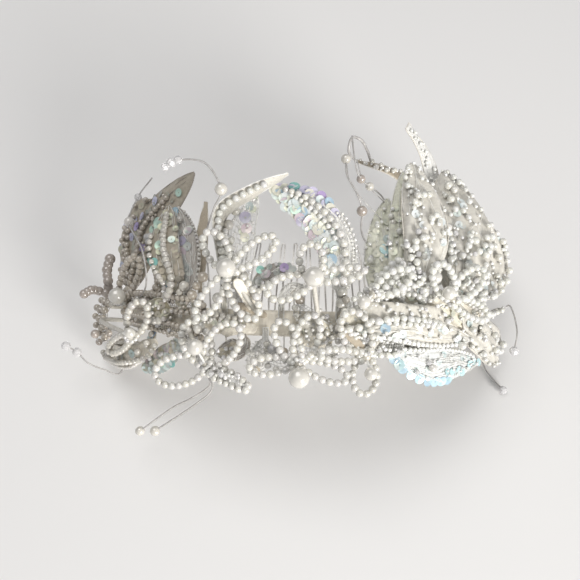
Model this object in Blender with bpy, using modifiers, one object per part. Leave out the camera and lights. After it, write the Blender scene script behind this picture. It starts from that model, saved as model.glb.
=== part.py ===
"""Bridal pearl tiara: a satin band with a wire comb, sequinned leaves, beaded loop flowers and pearl sprays.

The origin is the seat, the middle of the band's underside. +Z is up, -Y is the brow, X runs ear to ear.
Ornaments are placed by a chart, a 580 by 580 drawing of the tiara sighted from the eye point.
Each chart place is (across, down, proud): two chart units and the height over the dome in millimetres.
"""

import math
from collections import namedtuple

import bmesh
import bpy
from mathutils import Quaternion, Vector

MM = 0.001

# The dome that the band is bent over, and the band's plane, which leans forward of vertical.
DOME_RADII = Vector((88, 96, 90)) * MM
BAND_LEAN = math.radians(32)
BAND_SWEEP = math.radians(78)
BAND_WIDTH = 11 * MM
BAND_THICK = 2 * MM
BAND_CROWN = 0.5 * MM

# The eye point of the chart. Its units are pixels, and its focus gives 0.42 mm a unit at the band's top.
EYE_RISE = math.radians(60)
EYE_DISTANCE = 410 * MM
AIM_ASIDE = -5.9 * MM
AIM_UP = 14 * MM
CHART_FOCUS = 762
CHART_MIDDLE = 290

GAP = 0.3 * MM

# The comb is one wire bent to and fro, sewn with its bar under the band's rear edge.
COMB_SPAN = 74 * MM
COMB_TEETH = 12
COMB_REACH = 30 * MM
COMB_WIRE = 0.9 * MM
COMB_BAR = 2 * MM
TOOTH_TIP = 1.5 * MM
TOOTH_FOOT = 3.6 * MM
TOOTH_DIP = 3.5 * MM

LEAF_THICK = 1.0 * MM
LEAF_HUG = 0.65
LEAF_CUP = 0.2
LEAF_ROWS = 7
STALK_WIDTH = 2.2 * MM
TIP_WIDTH = 1.6 * MM

BEAD = 3 * MM
BEAD_PITCH = 3.15 * MM
NECK_SHARE = 0.45
SHOULDER_SHARE = 0.95
BEAD_SIDES = 10
TUBE_SIDES = 5
TUBE_POINTS = 9
LOOP_HUG = 0.3
HUB = 6 * MM
STEM = 2.4 * MM
POST = 1.2 * MM

NYLON = 0.8 * MM
KNOT = 2.4 * MM

SATIN = ("satin", (0.80, 0.76, 0.66), 0.45, 0.0)
STEEL = ("comb_wire", (0.42, 0.40, 0.38), 0.35, 1.0)
LEAF = ("leaf_net", (0.83, 0.82, 0.75), 0.50, 0.0)
PEARL = ("pearl", (0.90, 0.87, 0.82), 0.18, 0.0)
STRING = ("pearl_string", (0.92, 0.91, 0.88), 0.20, 0.0)
THREAD = ("nylon", (0.55, 0.53, 0.51), 0.30, 0.0)

Flower = namedtuple("Flower", "name hub stem_angle stem_side pearl pearl_at")
Loop = namedtuple("Loop", "flower tip width pinch beaded")
Leaf = namedtuple("Leaf", "name angle side width stalk roll way")
Spray = namedtuple("Spray", "name flower angle side")
Stalk = namedtuple("Stalk", "spray way pearls")

# Flowers: the hub, where the stem starts on the band (degrees along it, and from -1 at its brow edge to 1
# at its rear edge), and the centre pearl's diameter in mm and place.
FLOWERS = (
    Flower("flower_crest_left", (229, 271, 20), -10.5, 0.8, 8.0, (226, 268, 27)),
    Flower("flower_crest_middle", (313, 279, 19), 4, 0.8, 8.3, (314, 277, 26)),
    Flower("flower_brow_middle", (298, 363, 9), -2, -0.8, 8.8, (299, 378, 15)),
    Flower("flower_brow_right", (366, 357, 9), 20.5, -0.9, 5.6, (371, 374, 16)),
    Flower("flower_brow_left", (206, 365, 8), -29, -0.8, 7.0, (195, 347, 16)),
    Flower("flower_temple_left", (131, 336, 17), -66, -0.5, 5.0, (130, 333, 20.5)),
    Flower("flower_ear_left", (121, 300, 10), -76, 0.6, 8.2, (117, 296, 14)),
    Flower("flower_crest_right", (374, 294, 14), 15, 0.9, 5.5, (364, 302, 19)),
    Flower("flower_temple_right", (452, 300, 15), 49, 0.9, 6.0, (449, 293, 20)),
)

# Beaded loops: the far end's place, the width in mm, how much it narrows at the hub, and if its beads are
# modelled one by one.
LOOPS = (
    Loop("flower_crest_left", (205, 229, 27), 12.0, 0.3, True),
    Loop("flower_crest_left", (278, 236, 26), 10.5, 0.8, True),
    Loop("flower_crest_left", (195, 321, 19), 10.0, 0.6, True),
    Loop("flower_crest_left", (257, 322, 15), 12.5, 0.2, True),
    Loop("flower_crest_middle", (310, 240, 26), 12.5, 0.2, False),
    Loop("flower_crest_middle", (264, 295, 20), 12.0, 0.3, False),
    Loop("flower_crest_middle", (368, 270, 24), 8.0, 0.2, False),
    Loop("flower_brow_middle", (277, 318, 13), 12.0, 0.1, False),
    Loop("flower_brow_middle", (316, 312, 14), 12.5, 0.1, False),
    Loop("flower_brow_middle", (246, 368, 12), 10.0, 0.6, False),
    Loop("flower_brow_middle", (351, 380, 14), 10.0, 0.6, False),
    Loop("flower_brow_right", (347, 309, 15), 15.0, 0.2, False),
    Loop("flower_brow_right", (363, 398, 13), 13.0, 0.1, False),
    Loop("flower_brow_right", (316, 354, 17), 7.8, 0.2, False),
    Loop("flower_brow_left", (187, 319, 12), 14.5, 0.1, False),
    Loop("flower_brow_left", (152, 376, 16), 15.5, 0.2, False),
    Loop("flower_brow_left", (239, 323, 15), 15.5, 0.1, False),
    Loop("flower_brow_left", (252, 391, 12), 7.8, 0.1, False),
    Loop("flower_temple_left", (144, 299, 20), 12.0, 0.2, False),
    Loop("flower_temple_left", (108, 352, 18), 9.0, 0.1, False),
    Loop("flower_ear_left", (138, 254, 14), 11.0, 0.2, False),
    Loop("flower_crest_right", (414, 270, 22), 11.0, 0.3, False),
    Loop("flower_crest_right", (404, 258, 17), 7.8, 0.1, False),
    Loop("flower_temple_right", (436, 262, 24), 12.0, 0.3, False),
    Loop("flower_temple_right", (485, 268, 23), 12.0, 0.3, False),
    Loop("flower_temple_right", (490, 318, 19), 10.0, 0.3, False),
)

# Leaves: where the stalk starts on the band, the width in mm, the stalk's share of the length, the roll in
# degrees, and the places that the midline passes.
LEAVES = (
    Leaf("leaf_crest_arch", -20.5, 1, 9, 0.25, 72,
         ((221, 252, 12), (222, 215, 18), (248, 195, 21), (288, 174, 22))),
    Leaf("leaf_crest_small", -17, 1, 12, 0.2, 0, ((240, 262, 8), (242, 228, 10), (257, 197, 13))),
    Leaf("leaf_crest_low", -14, 1, 8, 0.3, 0, ((258, 285, 5), (276, 272, 6), (296, 271, 8))),
    Leaf("leaf_crest_net", -5, 1, 6, 0.3, 0, ((282, 302, 5), (290, 291, 7), (304, 286, 9))),
    Leaf("leaf_crest_tall", 10, 1, 17, 0.15, 0,
         ((341, 268, 6), (332, 233, 10), (305, 204, 14), (274, 189, 15))),
    Leaf("leaf_left_back", -68, 1, 22, 0.15, 0, ((137, 262, 6), (148, 222, 9), (194, 173, 12))),
    Leaf("leaf_left_fold", -50, 1, 10, 0.2, -10, ((162, 282, 1.6), (160, 250, 0.2), (168, 210, 1))),
    Leaf("leaf_left_pearl", -41, 1, 14, 0.2, 8, ((172, 280, 10), (163, 246, 14), (169, 206, 15))),
    Leaf("leaf_left_net", -34, 1, 12, 0.2, 0, ((190, 280, 5), (186, 248, 7), (178, 208, 9))),
    Leaf("leaf_left_strip", -28, 1, 5, 0.2, 30, ((201, 284, 2.5), (202, 240, 1), (206, 202, 2))),
    Leaf("leaf_left_low", -46, -1, 14, 0.2, 0, ((152, 340, 6), (137, 352, 8), (105, 354, 10))),
    Leaf("leaf_left_inner", -38, 0.1, 10, 0.2, 0, ((168, 314, 7), (160, 310, 10), (146, 306, 12))),
    Leaf("leaf_left_brow", -34, -1, 11, 0.2, 0, ((178, 344, 2), (165, 357, 2.5), (146, 368, 3))),
    Leaf("leaf_brow_lace", -15, -1, 9, 0.2, 0, ((244, 342, 4), (236, 349, 6), (216, 354, 7))),
    Leaf("leaf_brow_drop", -9, -1, 9, 0.2, 0, ((264, 346, 1.5), (260, 358, 1.5), (248, 373, 2))),
    Leaf("leaf_brow_cream", 8, -1, 10, 0.25, 0, ((327, 345, 3), (322, 335, 6), (306, 321, 8))),
    Leaf("leaf_right_upper", 13, 0.1, 9, 0.2, 0, ((362, 321, 5), (394, 317, 6.5), (438, 322, 8))),
    Leaf("leaf_right_pearl", 10, -0.7, 13, 0.15, 0, ((352, 331, 8), (400, 328, 12), (470, 339, 14))),
    Leaf("leaf_right_mid", 15, -1, 7, 0.2, 0, ((362, 348, 1.5), (398, 349, 2.5), (455, 354, 4))),
    Leaf("leaf_right_brow", 27, -1, 15, 0.15, 0, ((396, 352, 7.5), (430, 365, 10), (477, 362, 12))),
    Leaf("leaf_right_wide", 21, 1, 17, 0.15, 0, ((380, 280, 3), (386, 243, 4), (388, 199, 7))),
    Leaf("leaf_right_pale", 28, 1, 14, 0.15, -8, ((400, 280, 7), (406, 228, 10), (404, 172, 14))),
    Leaf("leaf_right_beaded", 35, 1, 20, 0.15, -8, ((424, 270, 14), (427, 225, 20), (412, 163, 23))),
    Leaf("leaf_right_horn", 40, 1, 7, 0.35, -25,
         ((437, 260, 5), (435, 200, 8), (428, 160, 18), (408, 126, 30))),
    Leaf("leaf_right_back", 44, 1, 7, 0.2, 0, ((448, 272, 2), (440, 215, 2), (398, 175, 3), (357, 161, 5))),
    Leaf("leaf_right_broad", 54, 1, 27, 0.15, -20, ((461, 280, 12), (464, 230, 17), (444, 171, 19))),
    Leaf("leaf_right_rim", 58, 1, 16, 0.15, -8, ((473, 284, 4), (482, 243, 4), (461, 186, 6))),
    Leaf("leaf_right_ear", 62, 1, 23, 0.2, -20, ((480, 298, 10), (491, 262, 15), (474, 217, 18))),
    Leaf("leaf_right_side", 68, -0.4, 16, 0.2, 0, ((476, 335, 10), (489, 344, 13), (498, 364, 14))),
)

# Sprays are bound knots with nylon stalks. A knot is at a flower's hub, or on the band.
SPRAYS = (
    Spray("spray_crest_left", "", -24.5, 0.8),
    Spray("spray_left", "", -60, 0.9),
    Spray("spray_temple_left", "", -73, -0.9),
    Spray("spray_brow_left", "flower_brow_left", 0, 0),
    Spray("spray_ear_left", "flower_ear_left", 0, 0),
    Spray("spray_right_back", "", 24.5, 0.8),
    Spray("spray_right", "", 75, 0.3),
)

# Stalks: the places that each passes, and its pearls as (place along the route, counted in its places from
# 0 at the knot, and the diameter in mm).
STALKS = (
    Stalk("spray_crest_left", ((208, 268, 8), (206, 235, 14), (214, 208, 27), (221, 189, 36),
                               (205, 163, 42), (178, 160, 44), (165, 167, 45)),
          ((4, 5.2), (6, 3.6), (6.45, 3.9), (7, 3.4))),
    Stalk("spray_left", ((146, 285, 13), (142, 250, 18), (129, 222, 19), (138, 197, 20), (152, 178, 24)),
          ((3, 4.8), (4, 3.6))),
    Stalk("spray_temple_left", ((128, 350, 4), (120, 373, 10), (105, 370, 17), (88, 363, 25), (77, 352, 29),
                                (66, 346, 34)),
          ((5, 4.6), (6, 4.4))),
    Stalk("spray_temple_left", ((122, 345, 2), (106, 341, 5), (99, 342, 18), (95, 334, 22)),
          ((3, 3.4), (4, 4.2))),
    Stalk("spray_brow_left", ((209, 386, 5), (190, 399, 8), (172, 408, 11), (140, 431, 18)), ((4, 4.4),)),
    Stalk("spray_brow_left", ((212, 389, 9), (196, 404, 13), (155, 431, 22)), ((3, 4.4),)),
    Stalk("spray_ear_left", ((109, 292, 15), (108, 281, 17), (107, 270, 18), (110, 259, 18)),
          ((2, 4.8), (3, 5.0), (4, 5.2))),
    Stalk("spray_ear_left", ((99, 291, 20), (91, 290, 24), (84, 294, 27)), ((1, 4.2), (2, 4.4), (3, 4.2))),
    Stalk("spray_right_back", ((376, 262, 0.8), (362, 234, 1), (362, 211, 7), (358, 196, 12), (347, 175, 16),
                               (346, 159, 18)),
          ((3, 4.8), (6, 4.4))),
    Stalk("spray_right_back", ((393, 262, 1), (390, 225, 1), (383, 198, 3), (361, 179, 19), (355, 160, 24),
                               (352, 136, 26)),
          ((3.6, 3.9), (4, 3.9))),
    Stalk("spray_right", ((500, 312, 14), (510, 306, 20), (517, 330, 25), (514, 351, 25)), ((4, 4.4),)),
    Stalk("spray_right", ((480, 345, 2), (484, 366, 6), (492, 378, 14), (503, 390, 19)), ((4, 4.2),)),
)


def material(finish):
    """The finish's material, made once."""
    name, colour, roughness, metallic = finish
    found = bpy.data.materials.get(name)
    if found:
        return found
    made = bpy.data.materials.new(name)
    made.use_nodes = True
    shader = made.node_tree.nodes["Principled BSDF"]
    shader.inputs["Base Color"].default_value = (*colour, 1)
    shader.inputs["Roughness"].default_value = roughness
    shader.inputs["Metallic"].default_value = metallic
    return made


def add_object(name, data, collection, finish=None):
    thing = bpy.data.objects.new(name, data)
    collection.objects.link(thing)
    if finish:
        data.materials.clear()
        data.materials.append(material(finish))
    return thing


# The dome, the band's plane and the chart.

BAND_TOP = Vector((0, -math.sin(BAND_LEAN), math.cos(BAND_LEAN)))
BAND_REAR = Vector((0, math.cos(BAND_LEAN), math.sin(BAND_LEAN)))
BAND_RADIUS = 1 / Vector(BAND_TOP[i] / DOME_RADII[i] for i in range(3)).length
DOME_CENTRE = -BAND_TOP * BAND_RADIUS
SIGHT = Vector((0, math.cos(EYE_RISE), -math.sin(EYE_RISE)))
SIGHT_UP = Vector((0, math.sin(EYE_RISE), math.cos(EYE_RISE)))
EYE = DOME_CENTRE - SIGHT * EYE_DISTANCE
AHEAD = (SIGHT * EYE_DISTANCE + Vector((AIM_ASIDE, 0, 0)) + SIGHT_UP * AIM_UP).normalized()
ASIDE = AHEAD.cross(Vector((0, 0, 1))).normalized()
UPWARD = ASIDE.cross(AHEAD)


def outward(point):
    """The dome's outward direction at a point."""
    return Vector((point - DOME_CENTRE)[i] / DOME_RADII[i] ** 2 for i in range(3)).normalized()


def charted(place):
    """The point at a chart place. Past the dome's rim it is where the sight line comes nearest."""
    across, down, proud = place
    radii = DOME_RADII + Vector((proud, proud, proud)) * MM
    ray = AHEAD * CHART_FOCUS + ASIDE * (across - CHART_MIDDLE) + UPWARD * (CHART_MIDDLE - down)
    start = Vector((EYE - DOME_CENTRE)[i] / radii[i] for i in range(3))
    step = Vector(ray[i] / radii[i] for i in range(3))
    a, b, c = step.dot(step), start.dot(step), start.dot(start) - 1
    reach = (-b - math.sqrt(max(0, b * b - a * c))) / a
    return EYE + ray * reach


def on_band(angle, side, height):
    """A point over the band: degrees along it, -1 to 1 across it, and the height over its underside."""
    turn = math.radians(angle)
    rim = Vector((math.sin(turn) * DOME_RADII.x, 0, 0)) + BAND_TOP * math.cos(turn) * BAND_RADIUS
    foot = DOME_CENTRE + rim + BAND_REAR * side * BAND_WIDTH / 2
    drop = side * side * (BAND_WIDTH / 2) ** 2 / (2 * BAND_RADIUS)
    lift = outward(DOME_CENTRE + rim)
    return foot + lift * (height - drop)


def route_point(points, place):
    """A point on the smooth curve through the given ones, at a place counted in them from 0."""
    ends = [2 * points[0] - points[1], *points, 2 * points[-1] - points[-2]]
    k = min(int(place), len(points) - 2)
    t = place - k
    p0, p1, p2, p3 = ends[k : k + 4]
    lean = 2 * p1 + (p2 - p0) * t
    bend = (2 * p0 - 5 * p1 + 4 * p2 - p3) * t**2 + (3 * p1 - p0 - 3 * p2 + p3) * t**3
    return (lean + bend) / 2


def smooth_line(points, count):
    return [route_point(points, (len(points) - 1) * i / (count - 1)) for i in range(count)]


def along(line, share):
    """The point at a share of a line's length."""
    lengths = [(b - a).length for a, b in zip(line, line[1:])]
    left = share * sum(lengths)
    for start, end, length in zip(line, line[1:], lengths):
        if left <= length:
            return start.lerp(end, left / length)
        left -= length
    return line[-1].copy()


def across_frame(point, axis, hug, roll=0):
    """(side, facing) of a piece that runs along axis and faces between the eye and outward."""
    facing = (EYE - point).normalized().lerp(outward(point), hug)
    facing -= axis * facing.dot(axis)
    facing = Quaternion(axis, math.radians(roll)) @ facing.normalized()
    return axis.cross(facing), facing


# Solids that several pieces are made from.


def tube(name, line, thickness, sides, collection, shares=None, finish=None):
    """A closed tube through the line. Shares scale its thickness at each point."""
    work = bmesh.new()
    rings = []
    facing = (line[1] - line[0]).orthogonal()
    for i, point in enumerate(line):
        axis = (line[min(i + 1, len(line) - 1)] - line[max(i - 1, 0)]).normalized()
        facing = (facing - axis * facing.dot(axis)).normalized()
        side = axis.cross(facing)
        reach = thickness / 2 * (shares[i] if shares else 1)
        turns = [2 * math.pi * k / sides for k in range(sides)]
        ring = [point + (facing * math.cos(turn) + side * math.sin(turn)) * reach for turn in turns]
        rings.append([work.verts.new(corner) for corner in ring])
    for near, far in zip(rings, rings[1:]):
        for k in range(sides):
            work.faces.new((near[k - 1], near[k], far[k], far[k - 1]))
    work.faces.new(rings[0][::-1])
    work.faces.new(rings[-1])
    mesh = bpy.data.meshes.new(name)
    work.to_mesh(mesh)
    work.free()
    return add_object(name, mesh, collection, finish)


def ball(name, centre, diameter, segments, rings, collection, finish=None):
    mesh = bpy.data.meshes.new(name)
    work = bmesh.new()
    bmesh.ops.create_uvsphere(work, u_segments=segments, v_segments=rings, radius=diameter / 2)
    work.to_mesh(mesh)
    work.free()
    made = add_object(name, mesh, collection, finish)
    made.location = centre
    mesh.shade_smooth()
    return made


def fuse(body, others, cutters):
    """Joins the other solids into the body with one Boolean, which leaves them as hidden helpers."""
    group = bpy.data.collections.new(body.name + "_joined")
    cutters.children.link(group)
    for other in others:
        for home in list(other.users_collection):
            home.objects.unlink(other)
        group.objects.link(other)
        other.hide_render = True
        other.display_type = "WIRE"
    join = body.modifiers.new("join", "BOOLEAN")
    join.operation = "UNION"
    join.solver = "EXACT"
    join.operand_type = "COLLECTION"
    join.collection = group


# The band and its comb.


def band_top(angle, side, above):
    """A point over the band's satin, at a height above it."""
    return on_band(angle, side, BAND_THICK + BAND_CROWN * (1 - side * side) + above)


def make_band(parts):
    mesh = bpy.data.meshes.new("satin_band")
    work = bmesh.new()
    bmesh.ops.create_grid(work, x_segments=22, y_segments=2, size=1)
    for vertex in work.verts:
        share, side = vertex.co.x, vertex.co.y
        vertex.co = band_top(math.degrees(BAND_SWEEP) * share, side, -BAND_THICK / 2)
    work.to_mesh(mesh)
    work.free()
    band = add_object("satin_band", mesh, parts, SATIN)
    wall = band.modifiers.new("wall", "SOLIDIFY")
    wall.thickness = BAND_THICK
    wall.offset = 0
    mesh.shade_smooth()


def comb_place(across, behind, depth):
    """A point under the band's rear edge: across it, behind its middle and below its underside."""
    return on_band(math.degrees(across / DOME_RADII.x), 2 * behind / BAND_WIDTH, -depth)


def make_comb(parts):
    depth = GAP + COMB_BAR / 2
    bar_behind = BAND_WIDTH / 2 - 2.5 * MM
    steps = [COMB_SPAN * (i / 7 - 0.5) for i in range(8)]
    bar = [comb_place(step, bar_behind, depth) for step in steps]
    tube("comb_bar", bar, COMB_BAR, 6, parts, finish=STEEL)

    foot = bar_behind + COMB_BAR / 2 + GAP + COMB_WIRE / 2
    pitch = COMB_SPAN / COMB_TEETH
    wire = []
    for i in range(COMB_TEETH):
        middle = -COMB_SPAN / 2 + pitch * (i + 0.5)
        for way in (-1, 1):
            leg = (
                (TOOTH_FOOT / 2, foot, depth),
                (TOOTH_FOOT * 0.4, foot + COMB_REACH * 0.5, depth + TOOTH_DIP * 0.3),
                (TOOTH_TIP / 2, foot + COMB_REACH, depth + TOOTH_DIP),
            )
            wire += [comb_place(middle + way * half, behind, under) for half, behind, under in leg[::-way]]
    tube("comb_teeth", wire, COMB_WIRE, 5, parts, finish=STEEL)


# Leaves.


def leaf_half(share, leaf):
    """Half the leaf's width at a share of its length: a stalk, then a round-tipped blade."""
    if share <= leaf.stalk:
        return STALK_WIDTH / 2
    blade = (share - leaf.stalk) / (1 - leaf.stalk)
    least = STALK_WIDTH / 2 + (TIP_WIDTH - STALK_WIDTH) / 2 * blade
    return max(least, leaf.width * MM / 2 * math.sin(math.pi * blade) ** 0.65)


def make_leaf(leaf, parts):
    root = band_top(leaf.angle, 0.35 * leaf.side, GAP + LEAF_THICK * 0.6)
    edge = band_top(leaf.angle, 0.9 * leaf.side, GAP + LEAF_THICK * 0.9)
    line = smooth_line([root, edge, *[charted(place) for place in leaf.way]], 60)
    mesh = bpy.data.meshes.new(leaf.name)
    work = bmesh.new()
    bmesh.ops.create_grid(work, x_segments=LEAF_ROWS, y_segments=2, size=1)
    for vertex in work.verts:
        share = 1 - (0.5 - vertex.co.x / 2) ** 1.4
        side = vertex.co.y
        middle = along(line, share)
        axis = (along(line, min(1, share + 0.02)) - along(line, max(0, share - 0.02))).normalized()
        turned = min(1, share / leaf.stalk)
        aside, facing = across_frame(middle, axis, 1 - turned * (1 - LEAF_HUG), leaf.roll * turned)
        half = leaf_half(share, leaf)
        vertex.co = middle + aside * side * half - facing * abs(side) * half * LEAF_CUP * turned
    work.to_mesh(mesh)
    work.free()
    made = add_object(leaf.name, mesh, parts, LEAF)
    wall = made.modifiers.new("wall", "SOLIDIFY")
    wall.thickness = LEAF_THICK
    wall.offset = 0
    mesh.shade_smooth()


# Flowers.


def loop_line(hub, loop):
    """The loop's centreline, from one side of the hub round to the other."""
    tip = charted(loop.tip)
    axis = (tip - hub).normalized()
    length = (tip - hub).length - BEAD / 2
    side, _ = across_frame((hub + tip) / 2, axis, LOOP_HUG)
    turns = [math.radians(degree) for degree in range(1, 360)]
    swing = [math.sin(turn) * math.sin(turn / 2) ** loop.pinch for turn in turns]
    half = (loop.width * MM - BEAD) / 2 / max(swing)
    apart = BEAD / 2 + GAP
    line = [hub + side * apart + axis * BEAD / 4]
    for turn, wide in zip(turns, swing):
        forth = length * (1 - math.cos(turn)) / 2
        if abs(wide) * half > apart or forth > length * 0.7:
            line.append(hub + axis * forth + side * wide * half)
    line.append(hub - side * apart + axis * BEAD / 4)
    return line


def make_loop(name, hub, loop, parts):
    line = loop_line(hub, loop)
    if not loop.beaded:
        points = [along(line, i / (TUBE_POINTS - 1)) for i in range(TUBE_POINTS)]
        return tube(name, points, BEAD, TUBE_SIDES, parts)
    length = sum((b - a).length for a, b in zip(line, line[1:]))
    beads = round(length / BEAD_PITCH)
    points, shares = [], []
    for i in range(beads):
        for place, share in ((0, NECK_SHARE), (0.3, SHOULDER_SHARE), (0.7, SHOULDER_SHARE)):
            points.append(along(line, (i + place) / beads))
            shares.append(share)
    points.append(line[-1])
    shares.append(NECK_SHARE)
    return tube(name, points, BEAD, BEAD_SIDES, parts, shares)


def make_flower(flower, parts, cutters):
    hub = charted(flower.hub)
    body = ball(flower.name, hub, HUB, 10, 4, parts, STRING)
    foot = band_top(flower.stem_angle, flower.stem_side, GAP + 0.15 * MM)
    rise = foot + outward(foot) * (hub - foot).length * 0.35
    stem = smooth_line([foot, rise, hub], 5)
    others = [tube(flower.name + "_stem", stem, STEM, TUBE_SIDES, parts)]
    for i, loop in enumerate(row for row in LOOPS if row.flower == flower.name):
        others.append(make_loop(f"{flower.name}_loop_{i}", hub, loop, parts))

    pearl = flower.pearl * MM
    lean = charted(flower.pearl_at) - hub
    reach = max(lean.length, HUB / 2 + GAP + pearl / 2)
    centre = hub + lean.normalized() * reach
    post_end = centre - lean.normalized() * (pearl / 2 + GAP)
    others.append(tube(flower.name + "_post", [hub, post_end], POST, 5, parts))
    fuse(body, others, cutters)
    ball(flower.name.replace("flower", "pearl"), centre, pearl, 12, 6, parts, PEARL)


# Sprays.


def knot_place(spray, stalks):
    """The knot's centre, on the band or beside its flower's hub towards the first stalk."""
    if not spray.flower:
        return band_top(spray.angle, spray.side, GAP + KNOT / 2)
    hub = charted(next(row.hub for row in FLOWERS if row.name == spray.flower))
    return hub + (charted(stalks[0].way[0]) - hub).normalized() * (HUB / 2 + GAP + KNOT / 2)


def make_spray(spray, parts, cutters):
    stalks = [row for row in STALKS if row.spray == spray.name]
    knot = knot_place(spray, stalks)
    body = ball(spray.name, knot, KNOT, 6, 4, parts, THREAD)
    others = []
    for i, stalk in enumerate(stalks):
        way = [knot, *[charted(place) for place in stalk.way]]
        line = smooth_line(way, len(stalk.way) + 2)
        others.append(tube(f"{spray.name}_stalk_{i}", line, NYLON, 5, parts))
        for k, (place, size) in enumerate(stalk.pearls):
            centre = route_point(way, place)
            others.append(ball(f"{spray.name}_pearl_{i}_{k}", centre, size * MM, 10, 4, parts))
    fuse(body, others, cutters)


def main():
    for thing in list(bpy.data.objects):
        bpy.data.objects.remove(thing)
    parts = bpy.data.collections.new("pearl_tiara")
    cutters = bpy.data.collections.new("joined_helpers")
    for collection in (parts, cutters):
        bpy.context.scene.collection.children.link(collection)
    make_band(parts)
    make_comb(parts)
    for leaf in LEAVES:
        make_leaf(leaf, parts)
    for flower in FLOWERS:
        make_flower(flower, parts, cutters)
    for spray in SPRAYS:
        make_spray(spray, parts, cutters)


main()
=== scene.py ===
import math
import random

import bmesh
import bpy
from mathutils import Matrix, Quaternion, Vector


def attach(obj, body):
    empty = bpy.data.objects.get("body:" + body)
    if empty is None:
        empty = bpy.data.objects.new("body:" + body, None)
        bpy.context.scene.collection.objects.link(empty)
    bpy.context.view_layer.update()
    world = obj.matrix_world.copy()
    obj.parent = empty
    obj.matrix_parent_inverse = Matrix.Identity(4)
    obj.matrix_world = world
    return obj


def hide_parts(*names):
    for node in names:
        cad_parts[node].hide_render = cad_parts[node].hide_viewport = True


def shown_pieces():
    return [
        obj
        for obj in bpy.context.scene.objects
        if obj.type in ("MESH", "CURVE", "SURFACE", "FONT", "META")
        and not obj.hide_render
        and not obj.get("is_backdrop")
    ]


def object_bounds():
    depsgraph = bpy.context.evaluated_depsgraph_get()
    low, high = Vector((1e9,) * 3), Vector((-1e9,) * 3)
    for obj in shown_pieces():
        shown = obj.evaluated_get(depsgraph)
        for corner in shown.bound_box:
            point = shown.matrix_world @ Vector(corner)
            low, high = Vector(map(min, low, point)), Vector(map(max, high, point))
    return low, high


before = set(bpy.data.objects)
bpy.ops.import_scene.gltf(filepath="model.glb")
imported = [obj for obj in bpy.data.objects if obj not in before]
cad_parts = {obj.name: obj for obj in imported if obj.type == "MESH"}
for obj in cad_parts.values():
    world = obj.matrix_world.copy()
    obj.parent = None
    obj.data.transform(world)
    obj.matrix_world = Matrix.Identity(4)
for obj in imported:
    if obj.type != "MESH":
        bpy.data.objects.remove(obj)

# A pearl tiara: satin band, wire comb, sequinned leaves, looped pearl flowers and pearl sprays.
cadLow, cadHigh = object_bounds()
mm = 0.001

# The chart is a 580 by 580 drawing of the tiara from the eye point, as in the part's source.
chart = {
    "domeRadii": Vector((88, 96, 90)) * mm,
    "bandLean": math.radians(32),
    "eyeRise": math.radians(60),
    "eyeDistance": 410 * mm,
    "aimAside": -5.9 * mm,
    "aimUp": 14 * mm,
    "focus": 762,
    "middle": 290,
    "gap": 0.3 * mm,
}
bandUp = Vector((0, -math.sin(chart["bandLean"]), math.cos(chart["bandLean"])))
bandBack = Vector((0, math.cos(chart["bandLean"]), math.sin(chart["bandLean"])))
bandRadius = 1 / Vector(bandUp[i] / chart["domeRadii"][i] for i in range(3)).length
domeCentre = -bandUp * bandRadius
sight = Vector((0, math.cos(chart["eyeRise"]), -math.sin(chart["eyeRise"])))
sightUp = Vector((0, math.sin(chart["eyeRise"]), math.cos(chart["eyeRise"])))
eye = domeCentre - sight * chart["eyeDistance"]
ahead = sight * chart["eyeDistance"] + Vector((chart["aimAside"], 0, 0)) + sightUp * chart["aimUp"]
ahead.normalize()
aside = ahead.cross(Vector((0, 0, 1))).normalized()
upward = aside.cross(ahead)


def outward(point):  # the dome's outward direction
    return Vector((point - domeCentre)[i] / chart["domeRadii"][i] ** 2 for i in range(3)).normalized()


def charted(place):  # the point at (across, down, millimetres over the dome)
    across, down, proud = place
    radii = chart["domeRadii"] + Vector((proud, proud, proud)) * mm
    ray = ahead * chart["focus"] + aside * (across - chart["middle"]) + upward * (chart["middle"] - down)
    start = Vector((eye - domeCentre)[i] / radii[i] for i in range(3))
    step = Vector(ray[i] / radii[i] for i in range(3))
    a, b, c = step.dot(step), start.dot(step), start.dot(start) - 1
    return eye + ray * ((-b - math.sqrt(max(0, b * b - a * c))) / a)


def chartOf(point):  # where a point shows in the chart
    seen = point - eye
    scale = chart["focus"] / seen.dot(ahead)
    return chart["middle"] + seen.dot(aside) * scale, chart["middle"] - seen.dot(upward) * scale


def routePoint(points, place):  # a place on the smooth curve through the points, counted in them from 0
    ends = [2 * points[0] - points[1], *points, 2 * points[-1] - points[-2]]
    k = min(int(place), len(points) - 2)
    t = place - k
    p0, p1, p2, p3 = ends[k : k + 4]
    lean = 2 * p1 + (p2 - p0) * t
    bend = (2 * p0 - 5 * p1 + 4 * p2 - p3) * t**2 + (3 * p1 - p0 - 3 * p2 + p3) * t**3
    return (lean + bend) / 2


def smoothLine(points, count):
    return [routePoint(points, (len(points) - 1) * i / (count - 1)) for i in range(count)]


def lineLength(line):
    return sum((b - a).length for a, b in zip(line, line[1:]))


def spaced(line, shares):  # the points at rising shares of a line's length
    lengths = [(b - a).length for a, b in zip(line, line[1:])]
    total, points, k, passed = sum(lengths), [], 0, 0
    for share in shares:
        want = share * total
        while k < len(lengths) - 1 and passed + lengths[k] < want:
            passed += lengths[k]
            k += 1
        points.append(line[k].lerp(line[k + 1], min(1, (want - passed) / lengths[k])))
    return points


def evenShares(count):
    return [i / (count - 1) for i in range(count)]


def acrossFrame(point, axis, hug, roll=0):  # (side, facing) of a piece along axis that faces eye and outward
    facing = (eye - point).normalized().lerp(outward(point), hug)
    facing -= axis * facing.dot(axis)
    facing = Quaternion(axis, math.radians(roll)) @ facing.normalized()
    return axis.cross(facing), facing


def choose(*things):  # selects these alone, the first of them active
    bpy.ops.object.select_all(action="DESELECT")
    for thing in things:
        thing.select_set(True)
        bpy.context.view_layer.objects.active = things[0]


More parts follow.
